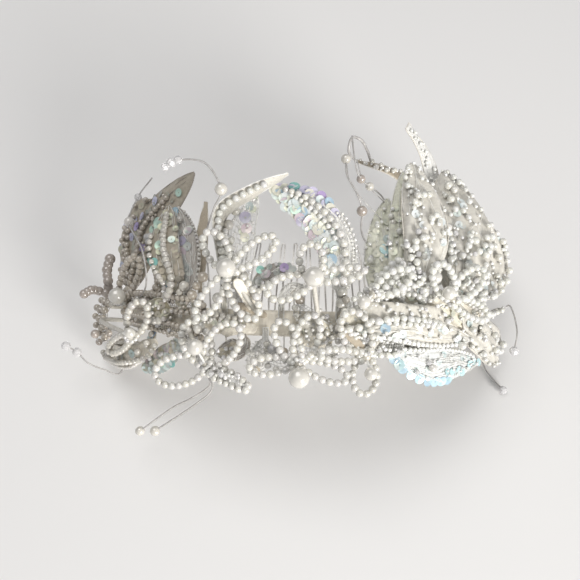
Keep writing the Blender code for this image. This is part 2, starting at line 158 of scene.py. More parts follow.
# Camera, lights and the room.
view = {"sensor": 36, "chartWide": 580, "clip": 0.01, "floorGap": 0.4 * mm, "floorSize": 6,
        "lit": Vector((0, 0.01, -0.01)), "room": (0.86, 0.87, 0.90, 1), "roomLight": 0.36}
choose()
bpy.ops.object.camera_add(location=eye)
camera = bpy.context.object
camera.name = "camera"
camera.rotation_euler = Matrix((aside, upward, -ahead)).transposed().to_euler()
camera.data.lens = view["sensor"] * chart["focus"] / view["chartWide"]
camera.data.sensor_width = view["sensor"]
camera.data.clip_start = view["clip"]
bpy.context.scene.camera = camera

lights = {
    "window": dict(way=(0.61, -0.785, 0.30), far=1.7, size=0.8, power=36, colour=(1, 0.985, 0.96)),
    "overhead": dict(way=(-0.25, 0.25, 0.93), far=1.6, size=1.2, power=11, colour=(1, 0.99, 0.97)),
}
for name, light in lights.items():
    way = Vector(light["way"]).normalized()
    bpy.ops.object.light_add(type="AREA", location=view["lit"] + way * light["far"])
    lamp = bpy.context.object
    lamp.name = name
    lamp.data.shape = "DISK"
    lamp.data.size = light["size"]
    lamp.data.energy = light["power"]
    lamp.data.color = light["colour"]
    lamp.rotation_euler = way.to_track_quat("Z", "Y").to_euler()

world = bpy.data.worlds.new("paleRoom")
world.use_nodes = True
world.node_tree.nodes["Background"].inputs["Color"].default_value = view["room"]
world.node_tree.nodes["Background"].inputs["Strength"].default_value = view["roomLight"]
bpy.context.scene.world = world
bpy.context.scene.view_settings.view_transform = "Standard"
print("camera and lights set")


# Materials.
def newMaterial(name, colour, roughness, metallic=0, more=None):
    made = bpy.data.materials.new(name)
    made.use_nodes = True
    shader = made.node_tree.nodes["Principled BSDF"]
    settings = {"Base Color": (*colour, 1), "Roughness": roughness, "Metallic": metallic, **(more or {})}
    for socket, value in settings.items():
        shader.inputs[socket].default_value = value
    return made


def addNode(made, kind, links=None, **values):
    node = made.node_tree.nodes.new(kind)
    for key, value in values.items():
        setattr(node, key, value)
    for socket, source in (links or {}).items():
        if isinstance(source, bpy.types.NodeSocket):
            made.node_tree.links.new(source, node.inputs[socket])
        else:
            node.inputs[socket].default_value = source
    return node


def shaderOf(made):
    return made.node_tree.nodes["Principled BSDF"]


def noiseOn(made, scale, detail=2, source="Object", stretch=(1, 1, 1)):
    where = addNode(made, "ShaderNodeTexCoord").outputs[source]
    mapped = addNode(made, "ShaderNodeMapping", {"Vector": where, "Scale": stretch}).outputs[0]
    return addNode(made, "ShaderNodeTexNoise", {"Vector": mapped, "Scale": scale, "Detail": detail})


def scaled(colour, by):
    return [min(1, c * by) for c in colour]


def shade(made, noise, low, dark, light, tinted=True):  # random noise colour times the piece's tint, which carries its own colour and any painted shade of its tone
    span = {"Value": noise.outputs["Fac"], "From Min": low, "From Max": 1 - low}
    ramp = addNode(made, "ShaderNodeMapRange", span).outputs[0]
    mix = addNode(made, "ShaderNodeMix", {"Factor": ramp, 6: (*dark, 1), 7: (*light, 1)}, data_type="RGBA")
    colour = mix.outputs[2]
    if tinted:
        tint = addNode(made, "ShaderNodeAttribute", attribute_name="tint")
        colour = addNode(made, "ShaderNodeMix", {"Factor": 1, 6: colour, 7: tint.outputs["Color"]},
                         data_type="RGBA", blend_type="MULTIPLY").outputs[2]
    made.node_tree.links.new(colour, shaderOf(made).inputs["Base Color"])


def roughen(made, height, strength, distance):
    relief = {"Height": height, "Strength": strength, "Distance": distance * mm}
    bump = addNode(made, "ShaderNodeBump", relief)
    made.node_tree.links.new(bump.outputs[0], shaderOf(made).inputs["Normal"])


# Fine uneven colour and surface.
def grain(made, scale, detail, bump=None, low=0.35, dark=None, light=None, tinted=True):
    noise = noiseOn(made, scale, detail)
    if dark:
        shade(made, noise, low, dark, light, tinted)
    if bump:
        roughen(made, noise.outputs["Fac"], *bump)
    return made


def pearlMaterial(name, colour, roughness):
    coat = {"Coat Weight": 1, "Coat Roughness": 0.03, "Coat IOR": 1.75, "Specular IOR Level": 0.6}
    made = newMaterial(name, colour, roughness, 0, coat)
    return grain(made, 260, 3, (0.06, 0.2), 0.35, scaled(colour, 0.9), colour)


def clothMaterial(name, colour, roughness, alpha, weave):
    sheen = {"Alpha": alpha, "Sheen Weight": 0.35, "Sheen Roughness": 0.35, "Specular IOR Level": 0.5,
             "Anisotropic": 0.3}
    made = newMaterial(name, colour, roughness, 0, sheen)
    # Random streaks along the cloth, a little darker and lighter, like slubs in the weave; they also stand in
    # for shade in folds, so they are partly painted shade.
    shade(made, noiseOn(made, 6, 4, "UV", (9, 1, 1)), 0.3, scaled(colour, 0.82), scaled(colour, 1.06))
    where = addNode(made, "ShaderNodeTexCoord").outputs["UV"]
    threads = addNode(made, "ShaderNodeMapping", {"Vector": where, "Scale": (weave, weave / 6, 1)})
    across, down = (
        addNode(made, "ShaderNodeTexWave", {"Vector": threads.outputs[0], "Scale": 1, "Distortion": 0.6},
                bands_direction=way).outputs["Fac"] for way in "XY")
    both = addNode(made, "ShaderNodeMath", {0: across, 1: down}, operation="ADD")
    roughen(made, both.outputs[0], 0.35, 0.08)
    return made


def threadMaterial(name, colour, roughness, sheen):
    made = newMaterial(name, colour, roughness, 0, {"Sheen Weight": sheen})
    return grain(made, 900, 3, (0.5, 0.1), 0.3, scaled(colour, 0.75), colour, False)


materials = {
    "pearl": pearlMaterial("ivoryPearl", (0.66, 0.635, 0.58), 0.20),
    "string": pearlMaterial("strungPearl", (0.70, 0.685, 0.64), 0.18),
    "seed": pearlMaterial("seedPearl", (0.84, 0.83, 0.80), 0.12),
}
for key, colour, roughness, alpha, weave in (
    ("satin", (0.93, 0.87, 0.75), 0.22, 1, 60),
    ("cream", (0.84, 0.79, 0.66), 0.28, 1, 60),
    ("ivory", (0.66, 0.63, 0.56), 0.28, 1, 60),
    ("white", (0.74, 0.75, 0.74), 0.28, 1, 60),
    ("beige", (0.50, 0.43, 0.33), 0.34, 0.92, 60),
    ("greige", (0.50, 0.445, 0.355), 0.42, 0.80, 60),
    ("olive", (0.42, 0.38, 0.26), 0.42, 0.84, 60),
    ("brownSheer", (0.48, 0.44, 0.39), 0.38, 0.66, 80),
    ("greySheer", (0.76, 0.73, 0.66), 0.32, 0.82, 80),
    ("paleSheer", (0.82, 0.82, 0.69), 0.32, 0.88, 80),
    ("clearSheer", (0.78, 0.77, 0.74), 0.28, 0.84, 80),
):
    materials[key] = clothMaterial(key + "Cloth", colour, roughness, alpha, weave)
materials["thread"] = threadMaterial("whiteThread", (0.93, 0.92, 0.88), 0.55, 0.3)
materials["netThread"] = threadMaterial("netThread", (0.74, 0.70, 0.62), 0.5, 0.3)
materials["brownThread"] = threadMaterial("brownThread", (0.36, 0.32, 0.28), 0.5, 0.2)
materials["sequin"] = grain(
    newMaterial("sequin", (0.9, 0.92, 0.93), 0.3, 0.1,
                {"Coat Weight": 0.5, "Coat Roughness": 0.22, "Thin Film Thickness": 420, "Thin Film IOR": 1.7,
                 "Specular IOR Level": 0.5, "Alpha": 0.80}),
    420, 2, (0.12, 0.1), 0.35, (0.82, 0.86, 0.88), (1, 1, 1))
materials["crystal"] = grain(
    newMaterial("cutCrystal", (0.86, 0.85, 0.85), 0.08, 0,
                {"Transmission Weight": 0.45, "IOR": 1.5, "Specular IOR Level": 0.5}),
    300, 1, (0.05, 0.1))
materials["nylon"] = grain(
    newMaterial("clearNylon", (0.60, 0.58, 0.56), 0.22, 0,
                {"Transmission Weight": 0.35, "IOR": 1.5, "Specular IOR Level": 0.7}),
    500, 2, None, 0.35, (0.50, 0.48, 0.46), (0.68, 0.66, 0.64), False)
materials["steel"] = grain(newMaterial("combWire", (0.80, 0.78, 0.76), 0.32, 1),
                           1400, 2, (0.15, 0.05), 0.35, (0.68, 0.66, 0.64), (0.84, 0.82, 0.80), False)
print("materials made")


# Making, copying and joining.
def putTint(mesh, colour):
    found = mesh.color_attributes.get("tint") or mesh.color_attributes.new("tint", "FLOAT_COLOR", "POINT")
    found.data.foreach_set("color", [*colour, 1] * len(mesh.vertices))


def finished(thing, name, material, smooth=True):
    thing.name = name
    thing.data.name = name
    thing.data.materials.clear()
    thing.data.materials.append(materials[material])
    if smooth:
        thing.data.shade_smooth()
    putTint(thing.data, (1, 1, 1))
    return thing


def editAll(thing):
    choose(thing)
    bpy.ops.object.mode_set(mode="EDIT")
    bpy.ops.mesh.select_all(action="SELECT")


def selectWhere(thing, test):  # selects the points that pass the test, in edit mode
    bpy.ops.mesh.select_all(action="DESELECT")
    work = bmesh.from_edit_mesh(thing.data)
    for vertex in work.verts:
        vertex.select = test(vertex.co)
    work.select_flush(True)
    bmesh.update_edit_mesh(thing.data)


def applied(thing, kind, **settings):
    choose(thing)
    added = thing.modifiers.new(kind.lower(), kind)
    for key, value in settings.items():
        setattr(added, key, value)
    bpy.ops.object.modifier_apply(modifier=added.name)
    return thing


def joined(name, things):
    choose(*things)
    if len(things) > 1:
        bpy.ops.object.join()
    things[0].name = name
    things[0].data.name = name
    return things[0]


def copyOf(shape, matrix, tint=(1, 1, 1), material=None):
    copy = shape.copy()
    copy.data = shape.data.copy()
    copy.data.transform(matrix)
    if material:
        copy.data.materials[0] = materials[material]
    putTint(copy.data, tint)
    bpy.context.collection.objects.link(copy)
    return copy


def placed(point, size, axis=None, facing=None):  # the matrix of a copy, its Z along facing
    if facing is None:
        return Matrix.Translation(point) @ Matrix.Diagonal((size, size, size, 1))
    z = facing.normalized()
    x = (axis - z * axis.dot(z)).normalized()
    basis = Matrix((x, z.cross(x), z)).transposed().to_4x4()
    return Matrix.Translation(point) @ basis @ Matrix.Diagonal((size, size, size, 1))


def wire(name, lines, thickness, material, resolution=1, radii=None, closed=False):
    data = bpy.data.curves.new(name, "CURVE")
    data.dimensions = "3D"
    data.bevel_depth = thickness / 2
    data.bevel_resolution = resolution
    data.use_fill_caps = not closed
    for line in lines:
        spline = data.splines.new("POLY")
        spline.points.add(len(line) - 1)
        spline.use_cyclic_u = closed
        for i, point in enumerate(line):
            spline.points[i].co = (*point, 1)
            spline.points[i].radius = radii[i % len(radii)] if radii else 1
    thing = bpy.data.objects.new(name, data)
    bpy.context.collection.objects.link(thing)
    choose(thing)
    bpy.ops.object.convert(target="MESH")
    editAll(thing)
    bpy.ops.mesh.remove_doubles(threshold=0.01 * mm)
    bpy.ops.object.mode_set(mode="OBJECT")
    return finished(thing, name, material)


def bentGrid(name, along, across, move, material):  # a grid whose points a function moves into place
    choose()
    bpy.ops.mesh.primitive_grid_add(x_subdivisions=along, y_subdivisions=across, size=2)
    thing = bpy.context.object
    for vertex in thing.data.vertices:
        vertex.co = move(vertex.co.x, vertex.co.y)
    return finished(thing, name, material)


def settle(piece, slot, *nodes):
    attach(piece, "root")
    if nodes:
        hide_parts(*nodes)
    return piece


def camel(name):
    first, *rest = name.split("_")
    return first + "".join(word.capitalize() for word in rest)


# What repeats, each modelled once at a size of one unit.
def roundShape(name, segments, rings, material, dimple=0.9, smooth=True):
    choose()
    bpy.ops.mesh.primitive_uv_sphere_add(segments=segments, ring_count=rings, radius=0.5)
    shape = bpy.context.object
    editAll(shape)
    selectWhere(shape, lambda place: abs(place.z) > 0.499)
    bpy.ops.transform.resize(value=(1, 1, dimple))
    bpy.ops.object.mode_set(mode="OBJECT")
    return finished(shape, name, material, smooth)


def sequinShape():
    choose()
    bpy.ops.mesh.primitive_circle_add(vertices=12, radius=0.5, fill_type="NGON")
    shape = bpy.context.object
    editAll(shape)
    bpy.ops.mesh.inset(thickness=0.41)
    bpy.ops.transform.translate(value=(0, 0, -0.05))
    bpy.ops.mesh.delete(type="FACE")
    bpy.ops.object.mode_set(mode="OBJECT")
    applied(shape, "SOLIDIFY", thickness=0.035, offset=0)
    return finished(shape, "sequinShape", "sequin", False)


shapes = {
    "string": roundShape("stringShape", 10, 7, "string"),
    "seed": roundShape("seedShape", 8, 5, "seed", 0.85),
    "pearl": roundShape("pearlShape", 20, 12, "pearl", 0.96),
    "crystal": roundShape("crystalShape", 8, 5, "crystal", 0.8, False),
    "sequin": sequinShape(),
}
dice = random.Random(7)
pearlTone = {"spread": 0.05, "green": 0.012, "blueLeast": 0.4, "blueMore": 0.6}


def pearlTint(spread=pearlTone["spread"], tone=(1, 1, 1)):
    warm = dice.uniform(-1, 1)
    level = 1 - dice.uniform(0, spread * 2)
    blue = 1 - spread * (pearlTone["blueLeast"] + pearlTone["blueMore"] * warm)
    own = (level, level * (1 - pearlTone["green"] * abs(warm)), level * blue)
    return tuple(a * b for a, b in zip(own, tone))


glints = {
    "cream": (0.92, 0.88, 0.77), "white": (0.95, 0.96, 0.96), "cyan": (0.66, 0.87, 0.90),
    "sky": (0.58, 0.74, 0.88), "blue": (0.42, 0.56, 0.82), "lilac": (0.71, 0.65, 0.83),
    "violet": (0.56, 0.41, 0.72), "pink": (0.85, 0.70, 0.77), "mint": (0.68, 0.86, 0.77),
    "teal": (0.36, 0.70, 0.66), "green": (0.64, 0.80, 0.62), "grey": (0.70, 0.69, 0.68),
    "pale": (0.85, 0.90, 0.90), "tan": (0.70, 0.61, 0.50), "brown": (0.56, 0.49, 0.42),
}
# Tones multiply a piece's colour: the darkest (taupe) and grey are painted shade on the left-hand pieces,
# which lie in shadow; plain changes nothing; snow makes a piece whiter.
tonesAndPaintedShade = {"taupe": (0.74, 0.68, 0.62), "grey": (0.86, 0.84, 0.82), "plain": (1, 1, 1),
         "snow": (1.10, 1.12, 1.13)}


# The band: satin ribbon wound slantwise round a hard core.
band = {"sweep": math.radians(78), "width": 11 * mm, "thick": 2 * mm, "crown": 0.5 * mm, "wraps": 26,
        "fold": 0.4 * mm, "slant": 0.9, "steps": 330, "round": 20, "square": 0.75, "endRound": 60,
        "weld": 0.01 * mm}


def onBand(angle, side, height):  # degrees along, -1 to 1 across, height over the underside
    turn = math.radians(angle)
    rim = Vector((math.sin(turn) * chart["domeRadii"].x, 0, 0)) + bandUp * math.cos(turn) * bandRadius
    foot = domeCentre + rim + bandBack * side * band["width"] / 2
    drop = side * side * (band["width"] / 2) ** 2 / (2 * bandRadius)
    return foot + outward(domeCentre + rim) * (height - drop)


def bandTop(angle, side, above):
    return onBand(angle, side, band["thick"] + band["crown"] * (1 - side * side) + above)


def makeBand():
    def move(x, y):
        turn = math.pi * y
        side, up = math.cos(turn), math.sin(turn)
        side = math.copysign(abs(side) ** band["square"], side)
        end = min(1, (1 - abs(x)) * band["endRound"]) ** 0.5
        wound = (x * band["wraps"] + side * band["slant"] * 0.5) % 1
        fold = band["fold"] * (wound**2 - 0.5) * end
        half = (band["thick"] / 2 + band["crown"] * 0.5 * (1 - side * side) * (1 if up > 0 else 0)) * end
        middle = band["thick"] / 2 + band["crown"] * 0.5 * (1 - side * side)
        height = middle + math.copysign(abs(up) ** band["square"], up) * (half + fold)
        return onBand(math.degrees(band["sweep"]) * x, side * (0.97 + 0.02 * end), height)

    piece = bentGrid("satinBand", band["steps"], band["round"], move, "satin")
    editAll(piece)
    bpy.ops.mesh.remove_doubles(threshold=band["weld"])
    bpy.ops.mesh.select_all(action="SELECT")
    bpy.ops.mesh.normals_make_consistent(inside=False)
    bpy.ops.object.mode_set(mode="OBJECT")
    settle(piece, "satin", "satin_band")


makeBand()
print("band made")

# The comb: a bar and one doubled wire bent to and fro.
comb = {"span": 74 * mm, "teeth": 12, "reach": 30 * mm, "wire": 0.9 * mm, "bar": 2 * mm, "tip": 1.5 * mm,
        "foot": 3.6 * mm, "dip": 3.5 * mm, "strand": 0.38 * mm, "inset": 2.5 * mm, "reachShare": 0.985,
        "narrowing": 0.8, "dipping": 1.6, "tipRound": 0.6, "turns": (135, 90, 45)}


def combPlace(across, behind, depth):
    return onBand(math.degrees(across / chart["domeRadii"].x), 2 * behind / band["width"], -depth)


def makeComb():
    depth = chart["gap"] + comb["bar"] / 2
    behind = band["width"] / 2 - comb["inset"]
    bar = [combPlace(comb["span"] * (share - 0.5), behind, depth) for share in evenShares(60)]
    ribs = [1, 0.93]
    settle(wire("combBar", [bar], comb["bar"] * 0.98, "steel", 4, ribs), "comb_wire", "comb_bar")

    foot = behind + comb["bar"] / 2 + chart["gap"] + comb["wire"] / 2
    pitch = comb["span"] / comb["teeth"]
    strands = []
    for off in (-1, 1):
        line = []
        for i in range(comb["teeth"]):
            centre = -comb["span"] / 2 + pitch * (i + 0.5)
            leg = []
            for share in evenShares(9):
                half = comb["foot"] / 2 + (comb["tip"] / 2 - comb["foot"] / 2) * share ** comb["narrowing"]
                dip = comb["dip"] * share ** comb["dipping"]
                back = foot + comb["reach"] * share * comb["reachShare"]
                leg.append((half + off * comb["strand"] / 2, back, depth + dip))
            for half, back, under in leg:
                line.append(combPlace(centre - half, back, under))
            half, back, under = leg[-1]
            for degree in comb["turns"]:
                swing = math.radians(degree)
                beyond = back + half * comb["tipRound"] * math.sin(swing)
                line.append(combPlace(centre + half * math.cos(swing), beyond, under))
            for half, back, under in leg[::-1]:
                line.append(combPlace(centre + half, back, under))
        strands.append(line)
    settle(wire("combTeeth", strands, comb["strand"] * 0.96, "steel", 1), "comb_wire", "comb_teeth")


makeComb()
print("comb made")

# Leaves: cloth blades with whipped edges, rows of pearls, sequins, seed pearls and loose threads.
leafForm = {"thick": 1.0 * mm, "hug": 0.65, "cup": 0.2, "stalkWidth": 2.2 * mm, "tipWidth": 1.6 * mm,
            "cloth": 0.45 * mm, "edge": 0.7 * mm, "picot": 1.7, "stitch": 1.1 * mm, "cells": (48, 14),
            "netCells": (26, 8), "netWire": 0.32 * mm, "looseWire": 0.24 * mm, "ruffle": 0.22 * mm,
            "scaleGap": 0.55, "scaleLift": 0.25 * mm, "sewnLift": 0.4 * mm, "strewnLift": (0, 0.5),
            "pearlSeat": 0.46, "sequinSeat": 0.08, "rowDrift": 0.02, "rowSizes": (0.97, 1.05),
            "sequinLevels": (0.88, 1.06), "rippleWaves": 40, "foldSway": 2.2, "edgeSteps": 70}


def leafOf(angle, side, width, cloth, *way, **more):  # root on the band, width in mm, cloth and midline
    own = {"root": (angle, side), "width": width, "cloth": cloth, "way": way, "stalk": 0.2, "roll": 0,
           "tone": "plain", "pleat": (0.1, 4)}
    return {**own, "rows": (), "scales": (), "strewn": (), "sewn": (), **more}


# rows are (side, start, end, first mm, last mm, spacing, kind), threads (count, start, end), fringe (side,
# start, end, count, mm), scales (side, start, end, mm, colours) and sewn (across, down, mm, kind). strewn are
# (count, kind, least mm, most mm, start, end, greatest side), or with a least and a greatest side.
leaves = {
    "leaf_crest_arch": leafOf(-20.5, 1, 9, "ivory", (221, 252, 12), (222, 215, 18), (248, 195, 21),
        (288, 174, 22), tone="snow", stalk=0.25, roll=72, pleat=(0.12, 3),
        rows=((-0.62, 0.16, 0.86, 3.3, 3, 0.98), (0.5, 0.16, 0.5, 3.2, 2.8)),
        sewn=((212, 236, 4.2, "pearl"), (229, 254, 3.4), (228, 246, 3.4))),
    "leaf_crest_small": leafOf(-17, 1, 12, "whiteNet", (240, 262, 8), (242, 228, 10), (257, 197, 13),
        threads=(16, 0.3, 0.95), rows=((-0.55, 0.1, 0.62, 3.2, 3, 1.25),),
        strewn=((10, "cream", 2.6, 3.6, 0.3, 1, -0.7, 0.8), (26, "seed", 1, 1.6, 0.3)),
        sewn=((237, 212, 4.2, "pearl"), (231, 227, 4.4, "pearl"), (237, 258, 3.2), (246, 218, 5.2, "lilac"),
        (247, 229, 4.8, "pink"), (250, 207, 4.2, "pale"), (245, 238, 4.2, "cream"))),
    "leaf_crest_low": leafOf(-14, 1, 8, "brownSheer", (258, 285, 5), (276, 272, 6), (296, 271, 8),
        stalk=0.3, threads=(10, 0.3, 1), rows=((0.7, 0.1, 0.95, 3, 2.6, 1.05),),
        strewn=((14, "grey", 2.6, 3.4, 0.35, 1, -0.9, 0.4), (4, "crystal", 1.6, 2.2, 0.3)),
        sewn=((285, 268, 4, "violet"), (267, 274, 3.8, "pink"), (250, 257, 3.6, "teal"))),
    "leaf_crest_net": leafOf(-5, 1, 6, "net", (282, 302, 5), (290, 291, 7), (304, 286, 9), stalk=0.3,
        threads=(60, 0.15, 1)),
    "leaf_crest_tall": leafOf(10, 1, 17, "net", (341, 268, 6), (332, 233, 10), (305, 204, 14),
        (274, 189, 15), stalk=0.15, picot=True, threads=(130, 0.12, 0.8), fringe=(-1, 0.16, 0.66, 70, 1.6),
        rows=((0.3, 0.1, 0.93, 4.4, 2.7), (-0.02, 0.5, 0.9, 2.6, 2, 1.1, "seed"),
        (0.8, 0.12, 0.62, 1.4, 1.3, 1, "seed"), (1, 0.08, 0.6, 1.6, 1.4, 1.3, "seed")),
        scales=((-0.82, 0.34, 1, 4.6, ("cream", "pale", "cream", "pink")), (-0.5, 0.26, 1, 4.8,
        ("pale", "cream", "white", "sky", "cream")), (-0.18, 0.42, 1, 4.6,
        ("cream", "pale", "cream", "white", "cream")), (0.72, 0.62, 1, 4.4,
        ("lilac", "cream", "lilac", "pale"))), sewn=((294, 186, 5, "teal"), (305, 191, 4.8, "lilac"),
        (313, 193, 4.6, "lilac"), (321, 197, 4.4, "violet"), (329, 203, 4.4, "sky"),
        (286, 207, 4.8, "pale"), (296, 210, 4.6, "mint"), (301, 222, 4.6, "lilac"), (308, 223, 4.2, "pink"),
        (333, 232, 3.2, "pale"))),
    "leaf_left_back": leafOf(-68, 1, 22, "greige", (137, 262, 6), (148, 222, 9), (194, 173, 12),
        tone="taupe", stalk=0.15, pleat=(0.3, 3), threads=(18, 0.2, 0.95),
        rows=((0.05, 0.04, 0.78, 3.4, 2.6), (-0.9, 0, 0.5, 3.8, 2.8, 1.05),
        (0.62, 0.06, 0.5, 3.4, 2.6, 1.15), (-0.45, 0.1, 0.72, 3.4, 2.6, 0.9, "brown")),
        strewn=((34, "seed", 1.2, 2, 0.05, 0.8), (26, "brown", 2.4, 3.4, 0.1, 0.85, 0.9)),
        sewn=((156, 202, 4.4, "lilac"), (143, 217, 4.6, "lilac"), (138, 227, 4.6, "violet"),
        (133, 237, 4.2, "lilac"), (144, 248, 4.2, "violet"), (158, 222, 4.8, "mint"),
        (155, 230, 4.6, "mint"), (158, 255, 4.4, "teal"), (160, 263, 4.4, "teal"), (180, 193, 4, "mint"),
        (155, 238, 4.4, "crystal"), (160, 236, 3.8, "crystal"), (150, 238, 3.6, "crystal"),
        (151, 243, 3, "crystal"), (163, 240, 3, "crystal"))),
    "leaf_left_fold": leafOf(-50, 1, 10, "greige", (162, 282, 1.6), (160, 250, 0.2), (168, 210, 1),
        tone="taupe", roll=-10, pleat=(0.3, 2), rows=((-0.8, 0, 0.7, 3.4, 2.6),
        (0.3, 0.05, 0.6, 3, 2.6, 1.1)), strewn=((14, "tan", 2.4, 3.4, 0.2, 0.9, 0.8),)),
    "leaf_left_pearl": leafOf(-41, 1, 14, "greige", (172, 280, 10), (163, 246, 14), (169, 206, 15),
        tone="grey", roll=8, pleat=(0.25, 3), threads=(14, 0.2, 1),
        rows=((0.08, 0.03, 0.94, 3.9, 2.7, 0.74), (-0.9, 0.05, 0.75, 3, 2.4)),
        strewn=((12, "tan", 2.6, 3.6, 0.25, 0.95, -0.8, -0.2),
        (12, "brown", 2.6, 3.4, 0.25, 0.95, 0.3, 0.9)), sewn=((155, 263, 4.4, "teal"),
        (160, 246, 4.4, "mint"), (157, 270, 4.2, "tan"), (160, 285, 4.6, "sky"), (165, 289, 4.4, "blue"),
        (172, 240, 3.4, "pale"), (159, 226, 4.2, "mint"))),
    "leaf_left_net": leafOf(-34, 1, 12, "brownSheer", (190, 280, 5), (186, 248, 7), (178, 208, 9),
        tone="grey", pleat=(0.2, 3), threads=(46, 0.05, 1), rows=((0.95, 0.1, 0.95, 1.6, 1.4, 1.3, "seed"),
        (0, 0, 0.22, 2.8, 2.6)), strewn=((12, "grey", 3.2, 4.4, 0.25, 0.95, 0.8),),
        sewn=((176, 213, 4.8, "sky"), (183, 242, 4.6, "lilac"), (176, 243, 4.6, "sky"),
        (182, 253, 4.8, "pink"), (179, 263, 4.4, "blue"), (188, 232, 4.2, "pink"), (186, 268, 4, "grey"),
        (182, 222, 3.2))),
    "leaf_left_strip": leafOf(-28, 1, 5, "beige", (201, 284, 2.5), (202, 240, 1), (206, 202, 2), roll=30),
    "leaf_left_low": leafOf(-46, -1, 14, "beige", (152, 340, 6), (137, 352, 8), (105, 354, 10), tone="grey",
        pleat=(0.2, 3), rows=((0, 0.12, 0.9, 3, 2.6), (-0.9, 0.15, 0.95, 2.4, 2, 1.1, "seed"),
        (0.7, 0.2, 0.9, 2.8, 2.4, 1.1)), strewn=((20, "tan", 2.6, 3.6, 0.2, 0.95, 0.8),
        (20, "seed", 1.2, 2, 0.2, 0.95)), sewn=((155, 335, 4.6, "blue"), (160, 331, 4.2, "sky"),
        (151, 339, 4, "pale"), (133, 340, 4, "crystal"))),
    "leaf_left_inner": leafOf(-38, 0.1, 10, "olive", (168, 314, 7), (160, 310, 10), (146, 306, 12),
        tone="grey", pleat=(0.2, 2), rows=((-0.85, 0.15, 0.95, 2.6, 2.2),),
        strewn=((14, "brown", 2.6, 3.8, 0.25, 1, 0.9), (14, "seed", 1.2, 1.8, 0.2)), sewn=((157, 323, 3),
        (164, 324, 3), (172, 326, 3))),
    "leaf_left_brow": leafOf(-34, -1, 11, "greySheer", (178, 344, 2), (165, 357, 2.5), (146, 368, 3),
        tone="grey", scales=((0.5, 0.25, 1, 4.2, ("grey", "tan", "grey", "pink")), (-0.1, 0.3, 1, 4.2,
        ("grey", "tan", "brown")), (-0.7, 0.3, 1, 4, ("grey", "pale"))),
        strewn=((6, "crystal", 1.8, 2.6, 0.2, 0.9, 0.8),), sewn=((173, 362, 4.2, "teal"),
        (163, 363, 4, "green"))),
    "leaf_brow_lace": leafOf(-15, -1, 9, "brownSheer", (244, 342, 4), (236, 349, 6), (216, 354, 7),
        threads=(36, 0.2, 1), strewn=((7, "tan", 3, 4, 0.35, 0.9, 0.6),
        (5, "crystal", 1.8, 2.6, 0.4, 0.95, 0.6))),
    "leaf_brow_drop": leafOf(-9, -1, 9, "whiteNet", (264, 346, 1.5), (260, 358, 1.5), (248, 373, 2),
        threads=(40, 0.2, 1), fringe=(1, 0.3, 0.95, 30, 1.6), rows=((-0.4, 0.3, 0.9, 2.8, 2.6, 1.1),),
        sewn=((275, 347, 4.4, "crystal"), (283, 350, 4, "crystal"), (257, 369, 3, "tan"))),
    "leaf_brow_cream": leafOf(8, -1, 10, "cream", (327, 345, 3), (322, 335, 6), (306, 321, 8), stalk=0.25,
        pleat=(0.25, 3), threads=(14, 0.3, 1), strewn=((16, "seed", 1.4, 2.2, 0.3),
        (4, "crystal", 1.8, 2.4, 0.2, 0.9)), sewn=((305, 337, 3), (312, 343, 3), (309, 330, 5.4, "cream"))),
    "leaf_right_upper": leafOf(13, 0.1, 9, "cream", (362, 321, 5), (394, 317, 6.5), (438, 322, 8),
        tone="snow", pleat=(0.3, 3), threads=(30, 0.1, 1), rows=((-0.85, 0.1, 0.97, 2.6, 2.4, 1.05),),
        strewn=((46, "seed", 1.2, 2.4, 0.1), (6, "crystal", 1.8, 2.8, 0.1))),
    "leaf_right_pearl": leafOf(10, -0.7, 13, "ivory", (352, 331, 8), (400, 328, 12), (470, 339, 14),
        tone="snow", stalk=0.15, pleat=(0.35, 4), threads=(46, 0.1, 1),
        rows=((-0.62, 0.12, 0.72, 3.6, 2.8, 1.08), (0.85, 0.2, 0.95, 2.2, 2, 1.2, "seed")),
        strewn=((26, "seed", 1.2, 2.2, 0.05), (9, "white", 3, 4, 0.2, 0.9, -0.4, 0.8)),
        sewn=((385, 329, 4.4, "sky"), (459, 346, 3.6, "pearl"))),
    "leaf_right_mid": leafOf(15, -1, 7, "ivory", (362, 348, 1.5), (398, 349, 2.5), (455, 354, 4),
        tone="snow", threads=(24, 0.1, 1), rows=((-0.85, 0, 0.95, 2.8, 2.4, 1.05),
        (0.85, 0.1, 0.9, 2.4, 2.2, 1.15, "seed")), strewn=((24, "seed", 1.2, 2.2, 0.1),)),
    "leaf_right_brow": leafOf(27, -1, 15, "white", (396, 352, 7.5), (430, 365, 10), (477, 362, 12),
        tone="snow", stalk=0.15, pleat=(0.25, 4), threads=(110, 0.12, 1),
        rows=((0.98, 0.2, 0.72, 4.9, 4.6, 0.95, "sky"), (-0.9, 0.15, 0.95, 2.2, 2, 1.1, "seed")),
        strewn=((8, "pale", 2.6, 3.6, 0.2, 0.95, -0.8, 0.6), (9, "cyan", 3, 4, 0.6, 1, -0.6, 0.9),
        (26, "seed", 1, 1.8, 0.15, 1, 0.9), (3, "crystal", 1.8, 2.6, 0.2, 0.8, 0.8)),
        sewn=((429, 367, 3.6, "pearl"), (390, 372, 4.8, "cyan"), (396, 366, 4.6, "pale"))),
    "leaf_right_wide": leafOf(21, 1, 17, "paleSheer", (380, 280, 3), (386, 243, 4), (388, 199, 7),
        tone="snow", stalk=0.15, pleat=(0.65, 3), threads=(14, 0.05, 0.9), fringe=(-1, 0.1, 0.7, 46, 1.2),
        rows=((0, 0, 0.2, 2.8, 2.8),), strewn=((34, "seed", 1, 2, 0.1, 0.9),
        (8, "string", 2.4, 3.2, 0.1, 0.8, -0.8, 1), (18, "cream", 3, 4.4, 0.2, 0.9, 0.8),
        (4, "crystal", 1.8, 2.6, 0.1, 0.5)), sewn=((384, 250, 5, "cyan"), (387, 240, 4.4, "pale"),
        (388, 256, 4, "cyan"), (391, 225, 3.6, "pearl"))),
